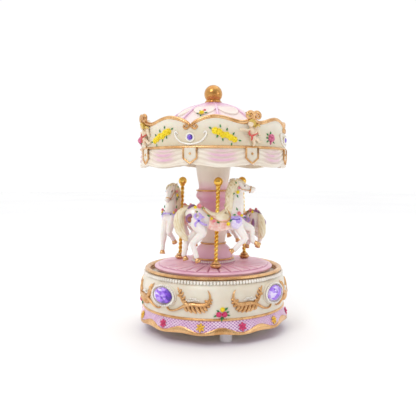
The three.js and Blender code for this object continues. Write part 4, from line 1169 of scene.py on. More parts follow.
@dataclass
class TurningDisc:
    """The pink disc, moulded in fans of petals that end inside a plain edge."""

    radius: float = 44.7
    top: float = 49.3
    bottom: float = 45.2
    petals: int = 32
    petal_end: float = 41.2
    groove: float = 0.55

    def relief(self, heading: float, radius: float, level: float) -> tuple[float, float]:
        """Grooves between petals, and a step where they end.

        Args:
            heading: heading of the point.
            radius: its distance from the axis.
            level: its height.

        Returns:
            Its new radius and height.
        """
        if level < self.bottom + 2 or radius < 14:
            return radius, level
        across = (heading * self.petals / 360) % 1 * 2 - 1
        end = self.petal_end - 1.3 * abs(across) ** 5
        on_petal = 1 / (1 + math.exp((radius - end) * 9))
        dish = 0.55 * abs(across) ** 2.5 * min(1, radius / 36)
        dent = self.groove * math.exp(-((1 - abs(across)) * radius / 7.5) ** 2) * min(1, radius / 30)
        return radius, level - 0.95 + (0.95 - dish - dent) * on_petal

    def build(self) -> None:
        """Makes the disc."""
        face = [(0, 49.3), (14, 49.3), (18, 49.3), (22, 49.28), (26, 49.2), (30, 49.1), (34, 48.98), (37, 48.85)]
        face += [(38.4 + 0.25 * k, 48.85 - 0.01 * k) for k in range(17)]
        outline = face + [(43.4, 48.7), (44.2, 48.4), (44.6, 47.8), (44.7, 46.8), (44.5, 45.6), (43.8, 45.2),
                          (4, 45.2), (0, 45.2)]
        disc = reshape(turn(outline, self.petals * 14), self.relief)
        deliver(disc, "rose_disc", Body.CAROUSEL, Paints.ROSEDISC, ["turning_disc"], 55)


@dataclass
class Column:
    """The turned column between the disc and the canopy."""

    foot: float = 49.35
    head: float = 124.0

    def build(self) -> None:
        """Makes the column, its gold bands and its pearls."""
        profile = [(15.6, 49.2), (15.8, 50.4), (15.2, 51.4), (14.6, 52.4), (14.5, 53.6), (14.2, 55.4), (13.3, 58.2),
                   (11.9, 60.4), (10.2, 62), (9.2, 63), (8.9, 63.8), (8.9, 64.8), (9.1, 66.6), (9.7, 70), (10.5, 73.4),
                   (11.9, 77.2), (12.9, 80.2), (12.7, 82.2), (11.9, 83.8), (11.7, 85), (12.3, 87), (12.6, 89.4),
                   (12.2, 91.8), (11.1, 93.6), (10.3, 94.8), (10.5, 95.8), (11.6, 97), (12.9, 98.6), (13.0, 100.2),
                   (12.4, 101.8), (11.9, 102.8), (11.7, 104), (10.9, 105.4), (11.1, 108), (11.8, 112), (12.6, 117),
                   (13.1, 121), (13.2, 124)]
        smooth = flow([(r, z) for r, z in profile], 2)
        column = turn([(2.2, 49.2), *smooth, (2.2, 124)], 72, closed=True)
        deliver(column, "turned_column", Body.CAROUSEL, Paints.COLUMN, ["column_lower", "column_upper"])
        for name, radius, level, thick, tall in (("foot", 15.0, 52.4, 0.9, 0.75), ("waist", 9.2, 63.6, 0.75, 0.65),
                                                 ("neck", 12.2, 103.4, 0.85, 0.7)):
            ring = [(radius + thick * math.cos(a), level + tall * math.sin(a)) for a in
                    (TAU * k / 10 for k in range(10))]
            deliver(turn(ring, 72, closed=True), f"column_{name}_band", Body.CAROUSEL, Paints.COPPER)
        pearls = bead_ring(15.9, 50.5, 56, (0.72, 0.72, 0.8))
        deliver(pearls, "column_pearls", Body.CAROUSEL, Paints.PEARL, sharp=80)


# ---- Poles and horses --------------------------------------------------------------------------------


@dataclass
class Pole:
    """A twisted brass pole with a ball on top and a stepped collar at its foot."""

    side: str
    place: Matrix
    lean: Point = (0.0, 0.0)
    low: float = 46.6
    high: float = 108.2
    strands: int = 2
    pitch: float = 6.2

    def build(self) -> None:
        """Makes the pole, its ball and its collar."""
        steps = int((self.high - self.low) * 2)
        rods = []
        for k in range(self.strands):
            path = []
            for step in range(steps + 1):
                z = self.low + (self.high - self.low) * step / steps
                angle = TAU * ((z - self.low) / self.pitch + k / self.strands)
                path.append((0.7 * math.cos(angle), 0.7 * math.sin(angle), z, 0.86))
            rods.append(pipe(path, 8))
        rope = join(rods)
        ball = join([blob((0, 0, 110.4), (3.25, 3.25, 3.25), sides=28),
                     turn([(0, 106.6), (1.5, 106.6), (1.9, 107), (1.9, 107.6), (1.5, 108), (0, 108.2)], 24)])
        collar = turn([(1.7, 49.3), (3.1, 49.3), (3.3, 49.8), (3.9, 50.3), (4.05, 50.9), (3.8, 51.5), (3.1, 51.8),
                       (2.8, 52), (3.0, 52.3), (3.05, 52.7), (2.7, 53.1), (2.2, 53.3), (2.1, 53.6), (1.7, 53.6)],
                      32, closed=True)
        for piece, name, finish, node in ((rope, "pole", Paints.TWIST, "pole"),
                                          (ball, "pole_ball", Paints.BRASS, "pole_knob"),
                                          (collar, "pole_foot", Paints.COPPER, "pole_collar")):
            for vertex in piece.data.vertices:
                share = max(0.0, (vertex.co.z - 52) / 58)
                vertex.co.x += self.lean[0] * share
                vertex.co.y += self.lean[1] * share
            piece.data.transform(self.place)
            deliver(piece, f"{name}_of_{self.side}", Body.CAROUSEL, finish, [f"{node}_{self.side}"], 60)


@dataclass
class Leg:
    """A leg as [x, z, radius] joints from the hip or shoulder down, and where its hoof points."""

    across: float
    joints: tuple[Point, ...]
    toe: Point

    def limb(self) -> bpy.types.Object:
        """The white part of the leg."""
        path = flow([(x, self.across, z, r) for x, z, r in self.joints], 4)
        return flatten(pipe(path, 10), (1, 0.82, 1), (0, self.across, 0))

    def hoof(self) -> bpy.types.Object:
        """The painted hoof, a flared cup at the end of the leg."""
        x, z, _ = self.joints[-1]
        dx, dz = self.toe
        path = [(x - 0.1 * dx, self.across, z - 0.1 * dz, 1.35), (x + 0.5 * dx, self.across, z + 0.5 * dz, 1.85),
                (x + 0.92 * dx, self.across, z + 0.92 * dz, 2.2), (x + dx, self.across, z + dz, 1.9)]
        return pipe(path, 12)


def hind(across: float, knee: Point, hock: Point, fetlock: Point, toe: Point = (0.9, -2.9)) -> Leg:
    """A hind leg through its three joints."""
    shank = ((knee[0] + 2 * hock[0]) / 3, (knee[1] + 2 * hock[1]) / 3)
    cannon = ((hock[0] + fetlock[0]) / 2, (hock[1] + fetlock[1]) / 2)
    joints = ((-14.2, 86, 5.4), (-12.6, 80, 5.0), (*knee, 3.7), (*shank, 2.7), (*hock, 2.4), (*cannon, 1.85),
              (*fetlock, 2.0), (fetlock[0] + 0.4, fetlock[1] - 1.4, 1.6))
    return Leg(across, joints, toe)


def fore(across: float, elbow: Point, knee: Point, fetlock: Point, toe: Point = (-1.6, -2.3)) -> Leg:
    """A foreleg through its three joints."""
    cannon = ((knee[0] + fetlock[0]) / 2, (knee[1] + fetlock[1]) / 2)
    end = (fetlock[0] + 0.4 * toe[0], fetlock[1] + 0.4 * toe[1])
    joints = ((13.6, 84, 4.6), (*elbow, 3.4), (*knee, 2.7), (*cannon, 1.9), (*fetlock, 1.95), (*end, 1.6))
    return Leg(across, joints, toe)


@dataclass
class Horse:
    """A cast horse that faces +X on its pole: body, hair, harness and flowers."""

    side: str
    place: Matrix
    legs: tuple[Leg, ...]
    bow: float = 0.0
    stance: tuple[float, float, float] = (0.0, 0.0, 1.0)
    gather: tuple[float, float] = (0.0, 0.0)

    def nod(self, x: float, z: float) -> tuple[float, float]:
        """Bends the neck forward and the face down.

        Args:
            x: distance of a point in front of the pole.
            z: its height.

        Returns:
            Where the point goes when the horse bows its head.
        """
        for share, pivot, low, high, reach in ((-0.22, (12, 90), 88, 100, (-99, -98)),
                                               (1.5, (15.5, 106.5), 99, 103, (14, 20))):
            raised = max(0.0, min(1.0, (z - low) / (high - low)))
            ahead = max(0.0, min(1.0, (x - reach[0]) / (reach[1] - reach[0])))
            angle = math.radians(self.bow) * share * raised * ahead
            dx, dz = x - pivot[0], z - pivot[1]
            x = pivot[0] + dx * math.cos(angle) + dz * math.sin(angle)
            z = pivot[1] + dz * math.cos(angle) - dx * math.sin(angle)
        upper = max(0.0, min(1.0, (z - 88) / 14))
        x, z = x - self.gather[0] * upper, z - self.gather[1] * upper
        drop, slope, tuck = self.stance
        return (x if x > -17 else -17 + (x + 17) * tuck), z - max(0.0, min(1.0, (z - 60) / 20)) * (drop - slope * x)

    def deliver_here(self, piece: bpy.types.Object, name: str, finish: Finish, nodes: Sequence[str] = ()) -> None:
        """Bows a piece with the horse's head, moves it to the horse's pole and delivers it."""
        set_in_place(piece)
        for vertex in piece.data.vertices:
            vertex.co.x, vertex.co.z = self.nod(vertex.co.x, vertex.co.z)
        piece.data.transform(self.place)
        deliver(piece, f"{name}_of_{self.side}", Body.CAROUSEL, finish, nodes, 80)

    def cast(self) -> None:
        """The white body, neck, head and legs, with its hooves and eyes."""
        barrel = [(-21.2, 0, 86, 2.6), (-19, 0, 86.4, 5.4), (-14.2, 0, 86, 7.3), (-7.4, 0, 83.8, 6.4),
                  (0, 0, 82, 5.6), (6, 0, 82.2, 6.0), (11, 0, 82.8, 7.0), (15.8, 0, 83.6, 6.2), (19, 0, 84.4, 3.4)]
        neck = [(11.6, 0, 84, 7), (13.6, 0, 89.4, 6.4), (15, 0, 95, 5.2), (15.4, 0, 100.5, 4.5),
                (15.2, 0, 105.4, 4.0), (15, 0, 107.6, 3.2)]
        head = [(13.2, 0, 108.6, 2.2), (15.4, 0, 107.9, 3.7), (18, 0, 107, 3.8), (20.8, 0, 106.1, 3.0),
                (23.8, 0, 105.3, 2.3), (26.4, 0, 104.7, 2.3), (28.2, 0, 104.3, 1.7)]
        parts = [flatten(pipe(flow(barrel, 4), 16), (1, 0.8, 1)), flatten(pipe(flow(neck, 4), 16), (1, 0.66, 1)),
                 flatten(pipe(flow(head, 4), 14), (1, 0.72, 1)), blob((26.2, 0, 103.2), (1.6, 1.2, 1.0)),
                 blob((17.6, 0, 105.4), (3.0, 2.9, 3.2)), blob((-14.4, 0, 84), (6.0, 5.8, 6.6)),
                 blob((13.6, 0, 81.6), (5.2, 5.2, 5.6))]
        for y in (-1, 1):
            ear = [(14.4, 1.7 * y, 109.8, 1.2), (13.8, 2.1 * y, 111.6, 0.95), (13.4, 2.3 * y, 113, 0.35)]
            parts += [pipe(flow(ear, 3), 8), blob((20.2, 2.1 * y, 107.8), (1.3, 0.6, 0.8)),
                      blob((27.4, 1.2 * y, 105), (0.8, 0.5, 0.6))]
        parts += [leg.limb() for leg in self.legs]
        self.deliver_here(melt(parts, 0.42, 5), "horse", Paints.HORSE, [f"horse_{self.side}"])
        self.deliver_here(join([leg.hoof() for leg in self.legs]), "hooves", Paints.COPPER)
        eyes = [blob((20.4, 2.62 * y, 107.5), (0.62, 0.35, 0.5), sides=10) for y in (-1, 1)]
        self.deliver_here(join(eyes), "eyes", Paints.EYE)

    def hair(self) -> None:
        """Mane and tail, in locks that overlap and curl at their ends."""
        crest = [(17.6, 111.4), (14.6, 111.8), (11.6, 110.2), (9.6, 106.6), (8.6, 102.4), (8.4, 98), (8.4, 93.6),
                 (8.8, 90.2), (9.8, 87.6)]
        core = pipe(flow([(x + 1, 0, z - 0.4, r) for (x, z), r in
                          zip(crest, (0.8, 1.5, 2.1, 2.6, 2.8, 2.8, 2.5, 2, 1.2))], 3), 10)
        parts = [core]
        for y in (-1, 1):
            under = [(x + 1.7, 2.9 * y, z - 3.0, r) for (x, z), r in
                     zip(crest[1:-1], (0.8, 1.5, 1.8, 1.9, 1.9, 1.6, 1.1))]
            parts.append(pipe(flow(under, 3), 10))
        for y in (-1, 1):
            for k, (x, z) in enumerate(flow(crest[1:], 2)):
                swing = 1.1 * math.sin(2.3 * k + y)
                long = 1.0 + 0.3 * math.cos(1.7 * k)
                lock = [(x + 0.6, 0.6 * y, z, 0.9), (x - 0.7, 2.2 * y, z - 0.9, 1.05),
                        (x + 0.9 + 0.6 * swing, 3.4 * y, z - 3.0 * long, 0.95),
                        (x - 0.5 + swing, 3.7 * y, z - 5.6 * long, 0.8), (x + 0.9 + swing, 4.1 * y, z - 7.4 * long, 0.5),
                        (x + 2.0 + swing, 4.3 * y, z - 7.0 * long, 0.3)]
                parts.append(pipe(flow(lock, 4), 6))
        for k, (x, z) in enumerate(((19.4, 109.6), (18, 110.6), (16.4, 111.2))):
            tip = [(15.4, 0.8 * (k - 1), 111.4, 0.9), (x, 1.6 * (k - 1), z + 0.6, 0.8), (x + 1, 2.4 * (k - 1), z - 1, 0.3)]
            parts.append(pipe(flow(tip, 3), 8))
        spine = [(-17.6, 90.4), (-20.4, 91.6), (-23.4, 90.2), (-25.4, 86.6), (-26, 81.4), (-25.2, 75.8),
                 (-22.8, 71.4), (-20.6, 68.4)]
        for k in range(9):
            turn_of = TAU * k / 9
            path = []
            for step, (x, z) in enumerate(spine):
                spread = (0.3, 0.8, 1.5, 2.2, 2.5, 2.3, 1.7, 0.9)[step]
                angle = turn_of + 0.55 * step
                thick = (0.9, 1.05, 1.15, 1.15, 1.05, 1.0, 0.8, 0.35)[step]
                ripple = 0.5 * math.sin(2.2 * step + 1.9 * k)
                path.append((x + spread * math.cos(angle) + ripple, spread * math.sin(angle), z, thick))
            parts.append(pipe(flow(path, 4), 8))
        self.deliver_here(melt(parts, 0.36, 1), "hair", Paints.MANE)

    def drape(self) -> bpy.types.Object:
        """The saddle blanket, a folded sheet hanging down both flanks."""
        sheet = fresh(bpy.ops.mesh.primitive_grid_add, x_subdivisions=30, y_subdivisions=48, size=2)
        for vertex in sheet.data.vertices:
            u, v, _ = vertex.co
            angle = v * math.radians(136)
            low = abs(v) ** 2
            hem = 1.05 - 0.32 * u * u
            fold = 0.42 * math.sin(u * 7 + 9 * abs(v)) * low
            side = math.sin(angle)
            x = 2.2 + u * (6.4 + 1.5 * low)
            y = (6.1 + 0.7 * low + fold) * (side if abs(v) < 0.66 else math.copysign(0.99, v)) 
            z = 82.6 + (5.4 * math.cos(angle) if abs(v) < 0.66 else -11.6 * (abs(v) - 0.66) * 1.6 * hem)
            vertex.co = (x, y, min(z, 87.4))
        return apply(apply(sheet, "SMOOTH", factor=0.5, iterations=2), "SOLIDIFY", thickness=0.6, offset=0)

    def saddle(self) -> None:
        """Saddle, its gold edges and the blanket under it."""
        seat = [(-8.8, 0, 92.4, 0.8), (-7.2, 0, 90.6, 1.5), (-4, 0, 88, 1.8), (0.4, 0, 87, 1.7), (4.2, 0, 88, 1.7),
                (6.8, 0, 90, 1.4), (8, 0, 91.6, 0.8)]
        pad = flatten(pipe(flow(seat, 4), 14), (1, 2.9, 1))
        flaps = []
        edges = []
        for y in (-1, 1):
            flaps.append(blob((4.4, 5.5 * y, 85.6), (5.2, 0.9, 3.2), (10 * y, 0, 0), 18))
            trail = [(-9.2, 3.4 * y, 92.2, 0.4), (-7.4, 4.8 * y, 89.8, 0.5), (-4.4, 5.6 * y, 87, 0.52),
                     (-1.2, 6.2 * y, 84.6, 0.5), (2.2, 6.5 * y, 82.8, 0.5), (6.2, 6.5 * y, 82.6, 0.5),
                     (9, 6.2 * y, 84, 0.5), (10, 5.8 * y, 86.4, 0.5), (9.4, 5.0 * y, 88.8, 0.5),
                     (8, 3.4 * y, 90.6, 0.45)]
            edges.append(pipe(flow(trail, 4), 8))
        for x, z, wide in ((-9.0, 92.9, 3.4), (8.0, 91.7, 2.6)):
            arch = [(x, wide * math.sin(a), z - wide * 0.45 * (1 - math.cos(a)), 0.55)
                    for a in (math.radians(-80 + 16 * k) for k in range(11))]
            edges.append(pipe(arch, 8))
        self.deliver_here(melt([pad, *flaps], 0.4, 3), "saddle", Paints.SADDLE)
        self.deliver_here(join(edges), "saddle_edging", Paints.COPPER)
        self.deliver_here(self.drape(), "blanket", Paints.BLANKET)

    def harness(self) -> None:
        """Bridle, chest strap, ribbons and the plum rump flap."""
        band = [(24.6 + 0.5 * math.sin(a), 1.75 * math.cos(a), 104.9 + 2.25 * math.sin(a), 0.42) for a in
                (TAU * k / 16 for k in range(16))]
        straps = [pipe(band, 6, closed=True)]
        for y in (-1, 1):
            cheek = [(24.2, 1.7 * y, 104.4, 0.3), (20.8, 2.7 * y, 104.6, 0.3), (17.4, 3.3 * y, 105.6, 0.3),
                     (14.6, 3.0 * y, 108.6, 0.3)]
            dock = [(-14.2, 4.6 * y, 90.4, 0.35), (-13.4, 5.2 * y, 88, 0.35), (-12.4, 5.4 * y, 85.6, 0.35)]
            straps += [pipe(flow(path, 4), 6) for path in (cheek, dock)]
        self.deliver_here(join(straps), "bridle", Paints.COPPER)
        loop = [(13.2 + 7.0 * math.cos(a), 5.7 * math.sin(a), 86 + 0.3 * math.cos(2 * a), 1.0)
                for a in (TAU * k / 36 for k in range(36))]
        ribbons = [flatten(pipe(loop, 8, closed=True), (1.02, 1.0, 0.62), (13.2, 0, 86))]
        knots = []
        for y in (-1, 1):
            for x, out, z, wide, deep in ((11.6, 5.9, 84, 1.7, 1.5), (14, 6.0, 82.6, 1.9, 2.2), (16.8, 5.2, 83.6, 1.6, 1.7),
                                          (12.6, 6.0, 82.6, 1.2, 1.5), (15.6, 5.7, 82.2, 1.2, 1.6)):
                ribbons.append(blob((x, out * y, z), (wide, 0.75, deep), sides=12))
                knots.append(blob((11.8 + 0.44 * (x - 11.6) * 2, (out + 0.55) * y, 84.4), (0.6, 0.5, 0.5), sides=8))
            for path in (((-9.8, 89.6), (-8, 87), (-9.8, 84)), ((-9.8, 84), (-12.2, 82), (-11.8, 79.6)),
                         ((-9.8, 84), (-6.4, 81.6), (-3.6, 81)), ((-9.8, 84), (-8.6, 86.6), (-5.6, 86.4)),
                         ((-9.8, 84), (-12.6, 86.8), (-11.2, 89.4))):
                bow = [(x - 2.4, 7.1 * y - 0.03 * y * (x + 9) ** 2, z - 0.6, r) for (x, z), r in zip(path, (0.6, 0.95, 0.5))]
                ribbons.append(pipe(flow(bow, 4), 8))
            knots.append(blob((-12.2, 7.7 * y, 83.6), (0.8, 0.5, 0.8), sides=8))
        drapes = [blob((14.4, 5.3 * y, 81.6), (4.4, 1.3, 4.3), (0, 0, -14 * y), 18) for y in (-1, 1)]
        self.deliver_here(join(drapes), "chest_drapes", Paints.LILAC)
        self.deliver_here(melt(ribbons, 0.36, 1), "ribbons", Paints.RIBBON)
        self.deliver_here(join(knots), "ribbon_knots", Paints.VIOLET)
        flaps = [blob((-18.2, 4.7 * y, 85.0), (3.6, 1.3, 3.4), (0, -20, -24 * y), 14) for y in (-1, 1)]
        hearts = [blob((-18.2, 5.4 * y, 84.6), (2.3, 1.1, 2.1), (0, -20, -24 * y), 14) for y in (-1, 1)]
        self.deliver_here(join(hearts), "rump_hearts", Paints.CHESTNUT)
        flaps.append(pipe(flow([(-19.8, -2.4, 91.6, 0.6), (-17, 0, 93.6, 1.0), (-14.4, 2.2, 93.6, 0.6)], 4), 8))
        self.deliver_here(melt(flaps, 0.4, 2), "rump_flap", Paints.PLUM)

    def flowers(self) -> None:
        """Flowers on the cheek, chest, blanket and rump."""
        garden = Garden(Body.CAROUSEL, f"{self.side}_horse")
        for y in (-1, 1):
            flip = Matrix.Identity(4) if y < 0 else Matrix.Rotation(math.pi, 4, "Z")
            spots = [(15.4, 103.2, 3.9, Bloom.ROSE, Paints.YELLOW, 1.5), (16.4, 106.2, 4.0, Bloom.ROSE, Paints.BLUSH, 1.2),
                     (16.2, 88.4, 5.4, Bloom.ROSE, Paints.BLUSH, 1.7), (18, 86.8, 4.7, Bloom.ROSE, Paints.YELLOW, 1.3),
                     (-1.6, 83.4, 6.9, Bloom.ROSE, Paints.BLUSH, 1.5), (-3.2, 84.8, 6.6, Bloom.ROSE, Paints.YELLOW, 1.2),
                     (8.4, 81.2, 7.2, Bloom.ROSE, Paints.YELLOW, 1.6), (-11.6, 93.4, 2.2, Bloom.ROSE, Paints.BLUSH, 1.8),
                     (-14.4, 92.6, 2.6, Bloom.ROSE, Paints.YELLOW, 1.4)]
            leaves = [(14.8, 101.2, 3.8, 160, 2.2), (13.2, 102.4, 3.6, -110, 2.2), (14.6, 108.4, 3.4, -20, 2.4),
                      (13.8, 87.6, 5.8, -100, 2.4), (15, 90.4, 5.0, -20, 2.4), (19.6, 86, 3.6, 120, 2.0),
                      (-4.4, 86.4, 6.4, -60, 2.6), (0.4, 82.6, 7.0, 110, 2.2), (9.6, 82.8, 7.0, 40, 2.4),
                      (-13, 90.2, 4.6, -160, 2.2), (-9.8, 92.2, 3.4, 110, 2.4)]
            for x, z, out, bloom, paint, size in spots:
                x, z = self.nod(x, z)
                turned = Matrix.Translation((x, out * y, z)) @ flip @ Matrix.Scale(size, 4)
                garden.plant(bloom, paint, self.place @ turned)
            for x, z, out, spin, size in leaves:
                x, z = self.nod(x, z)
                tilt = Matrix.Rotation(math.radians(spin * -y), 4, "Y")
                turned = Matrix.Translation((x, out * y, z)) @ flip @ tilt @ Matrix.Scale(size, 4)
                garden.plant(Bloom.LEAF, Paints.LEAF, self.place @ turned)
        garden.grow()

    def build(self) -> None:
        """Makes all of the horse."""
        self.cast()
        self.hair()
        self.saddle()
        self.harness()
        self.flowers()


@dataclass
class Ride:
    """The three poles with their horses."""

    radius: float = 29.4
    first: float = -2.8
    sides: tuple[str, ...] = ("front", "right", "left")
    leans: tuple[Point, ...] = ((1.9, 0), (0, 2.2), (0, 2.6))
    bows: tuple[float, ...] = (0, 4, 36)
    stances: tuple[tuple[float, float, float], ...] = ((0, 0, 1), (3.2, 0.17, 0.62), (0, 0, 1))
    gathers: tuple[Point, ...] = ((0, 0), (0, 0), (2.4, 4.0))

    def legs(self, side: str) -> tuple[Leg, ...]:
        """A horse's four legs, each horse with a stride of its own."""
        strides = {
            "front": (hind(-2.9, (-9.5, 75), (-16.2, 67), (-13.8, 57.8)),
                      hind(2.9, (-12, 75.5), (-20.4, 68), (-22.4, 58.6)),
                      fore(-2.8, (16.6, 77.4), (20.4, 70.6), (13.4, 62.8), (-2.4, -1.4)),
                      fore(2.8, (20.6, 79), (25.6, 76.6), (27, 68), (3.4, -2.6))),
            "right": (hind(-2.9, (-10, 75.5), (-17.4, 70), (-14.8, 63.4), (1.2, -2.8)),
                      hind(2.9, (-9, 75.5), (-13.4, 69), (-8.8, 62.8), (1.4, -2.5)),
                      fore(-2.8, (18, 76), (20.6, 69.4), (14.4, 64.2)),
                      fore(2.8, (20.6, 78), (24.2, 72.6), (18.8, 68))),
            "left": (hind(-2.9, (-9.5, 75), (-16.2, 67), (-14.8, 58.6)),
                     hind(2.9, (-12, 75.5), (-19, 69), (-20.8, 61)),
                     fore(-2.8, (18, 76), (20.2, 67), (21.4, 59.4), (0.3, -2.7)),
                     fore(2.8, (18.6, 77.6), (20.8, 72.2), (15, 66.4))),
        }
        return strides[side]

    def build(self) -> None:
        """Makes the poles and horses."""
        for k, side in enumerate(self.sides):
            turned = Matrix.Rotation(math.radians(self.first + 120 * k), 4, "Z")
            place = turned @ Matrix.Translation((0, -self.radius, 0))
            Pole(side, place, self.leans[k]).build()
            Horse(side, place, self.legs(side), self.bows[k], self.stances[k], self.gathers[k]).build()


# ---- Canopy ------------------------------------------------------------------------------------------


@dataclass
class Canopy:
    """The canopy: scalloped wall, gold trim, swagged valance, tabs, stones, garlands and cherubs."""

    bays: int = 4
    bay_heading: float = -22.5
    trim_weight: float = 1.2
    radius: float = 54.0
    ring_level: float = 133.8
    crest: tuple[Point, ...] = ((0, 147.6), (2.2, 148.4), (4, 149.6), (7, 151.2), (12, 153), (18, 153.8), (25, 152.6),
                                (31, 150.8), (36, 149.6), (40, 149.8), (42, 151.5), (45, 154))

    def gem_angle(self, heading: float) -> float:
        """Angle in degrees from the nearest stone."""
        return abs((heading - self.bay_heading + 45) % 90 - 45)

    def middle(self, heading: float) -> float:
        """1 in the middle of a swag and 0 at a tab."""
        return 0.5 - 0.5 * math.cos(math.radians(2 * self.bays * (heading - self.bay_heading)))

    def wall(self) -> None:
        """The scalloped wall with the ceiling inside it."""
        outline = [(2.2, 124), (50.4, 124), (50.4, 132.6), (53.9, 132.6), (54, 135), (53.8, 139), (53.6, 143),
                   (53.55, 146), (53.5, 150), (53.4, 153), (52.9, 153.8), (51.2, 153.8), (50.7, 153),
                   (50.6, 150), (50.6, 143.2), (46, 143.2), (46, 127), (2.2, 127)]
        shell = turn(outline, 288, closed=True)

        def scallop(heading: float, radius: float, level: float) -> tuple[float, float]:
            """Lowers the wall's top edge to the crest."""
            if level < 146 or radius < 50:
                return radius, level
            top = between(self.gem_angle(heading), self.crest)
            return radius, 145 + (level - 145) * (top - 145) / 8.8

        # The wall's paint carries painted shade towards its foot.
        deliver(reshape(shell, scallop), "canopy_wall", Body.CAROUSEL, Paints.WALL, ["canopy"])
        ring = [(53.7 + 1.3 * math.cos(a), self.ring_level + 0.95 * math.sin(a)) for a in
                (TAU * k / 12 for k in range(12))]
        deliver(turn(ring, 192, closed=True), "canopy_gold_ring", Body.CAROUSEL, Paints.COPPER)

    def trim(self) -> None:
        """The gold trim along the crest, with small volutes at the stones and ram's horns at the cherubs."""
        path = [(3.2, 0.9, 147.2, 0.35), (3.1, 1.0, 147.9, 0.4), (3.9, 1.1, 148.1, 0.5), (4.6, 1.1, 147.3, 0.5),
                (4.2, 1.1, 146.3, 0.55), (3.0, 1.1, 145.8, 0.6), (1.6, 1.0, 146.5, 0.7), (0.8, 0.7, 147.8, 0.85),
                (1.8, 0.3, 149.2, 1.0), (5.0, 0.1, 151.1, 1.15), (10, 0, 152.8, 1.15), (16.6, 0, 153.8, 1.1),
                (23, 0, 152.9, 1.1), (29, 0, 151.2, 1.15), (33.6, 0.2, 150.3, 1.2), (37.2, 0.9, 150.6, 1.25),
                (40, 2.0, 151.9, 1.3), (41.3, 2.9, 153.9, 1.25), (40.7, 3.4, 156, 1.15), (38.8, 3.6, 156.8, 1.05),
                (37, 3.6, 155.7, 0.95), (36.8, 3.7, 153.8, 0.85), (38, 3.9, 152.8, 0.75), (39.4, 4.1, 153.5, 0.65),
                (39.2, 4.3, 154.8, 0.5), (38.4, 4.4, 154.5, 0.4)]
        rod = pipe(flow([(s, -out, z, r * self.trim_weight) for s, out, z, r in path], 4), 10)
        mirrored = copies(rod, [Matrix.Scale(-1, 4, (1, 0, 0))], keep=True)
        pair = wrap(join([rod, mirrored]), lambda level: 52.7, self.bay_heading)
        turns = [Matrix.Rotation(TAU / self.bays * k, 4, "Z") for k in range(self.bays)]
        deliver(copies(pair, turns), "canopy_gold_trim", Body.CAROUSEL, Paints.COPPER, sharp=80)

    def valance(self) -> None:
        """Cloth swags between the tabs, moulded with sagging folds."""
        steps = 34
        outer = [(54.2, 121.5 + 11.3 * k / steps) for k in range(steps + 1)]
        shell = turn([(53, 121.1), *outer, (51, 132.8), (51, 121.3)], 384, closed=True)

        def drape(heading: float, radius: float, level: float) -> tuple[float, float]:
            """Folds across each swag, over a hem that hangs lowest in its middle."""
            middle = self.middle(heading)
            tail = math.exp(-(((1 - middle) - 0.9) / 0.07) ** 2) if middle < 0.3 else 0
            hem = 122.7 - 2.3 * middle ** 0.7 - 0.5 * tail
            share = (level - 121.3) / 11.5
            height = hem + share * (132.8 - hem)
            if radius < 52:
                return radius, height
            fold = math.cos(TAU * (height + 3.8 * middle) / 3.3)
            body = min(1.0, share * 5) * min(1.0, (1 - share) * 6)
            flare = 0.75 * (1 - share) + 0.5 * middle * (1 - share)
            return radius - 0.55 + flare + 0.55 * fold * body * (0.3 + 0.7 * middle), height

        deliver(reshape(shell, drape), "canopy_valance", Body.CAROUSEL, Paints.SWAG, sharp=70)

    def tabs(self) -> None:
        """Pointed tabs with gold edges and studs."""
        corners = [(-4.6, 133.2), (4.6, 133.2), (4.6, 126.4), (0, 122.9), (-4.6, 126.4)]
        plate = fresh(bpy.ops.mesh.primitive_circle_add, vertices=5, radius=1, fill_type="NGON",
                      rotation=(math.pi / 2, 0, 0))
        set_in_place(plate)
        for vertex, (x, z) in zip(plate.data.vertices, corners):
            vertex.co = (x, -0.75, z)
        with Editing(plate):
            bpy.ops.mesh.extrude_region_move(TRANSFORM_OT_translate={"value": (0, 1.4, 0)})
            bpy.ops.mesh.select_all(action="SELECT")
            bpy.ops.mesh.subdivide(number_cuts=3)
        outward(plate)
        edge = []
        for (x, z), (next_x, next_z) in zip(corners[1:4], corners[2:]):
            edge += [(x + (next_x - x) * k / 4, -0.85, z + (next_z - z) * k / 4, 0.66) for k in range(4)]
        edge += [(x, -0.85, z, 0.66) for x, z in (corners[4], corners[0])]
        start = [(corners[1][0], -0.85, z, 0.66) for z in (133.2, 129.8)]
        rim = join([pipe(start, 8), pipe(edge, 8), blob((0, -0.8, 129.4), (0.85, 0.7, 0.85), sides=12)])
        turns = [Matrix.Rotation(math.radians(self.bay_heading) + TAU / 8 * k, 4, "Z") for k in range(8)]
        for piece, name, finish in ((plate, "canopy_tabs", Paints.CREAM), (rim, "canopy_tab_edges", Paints.COPPER)):
            wrap(piece, lambda level: 53.9, 0)
            deliver(copies(piece, turns), name, Body.CAROUSEL, finish)

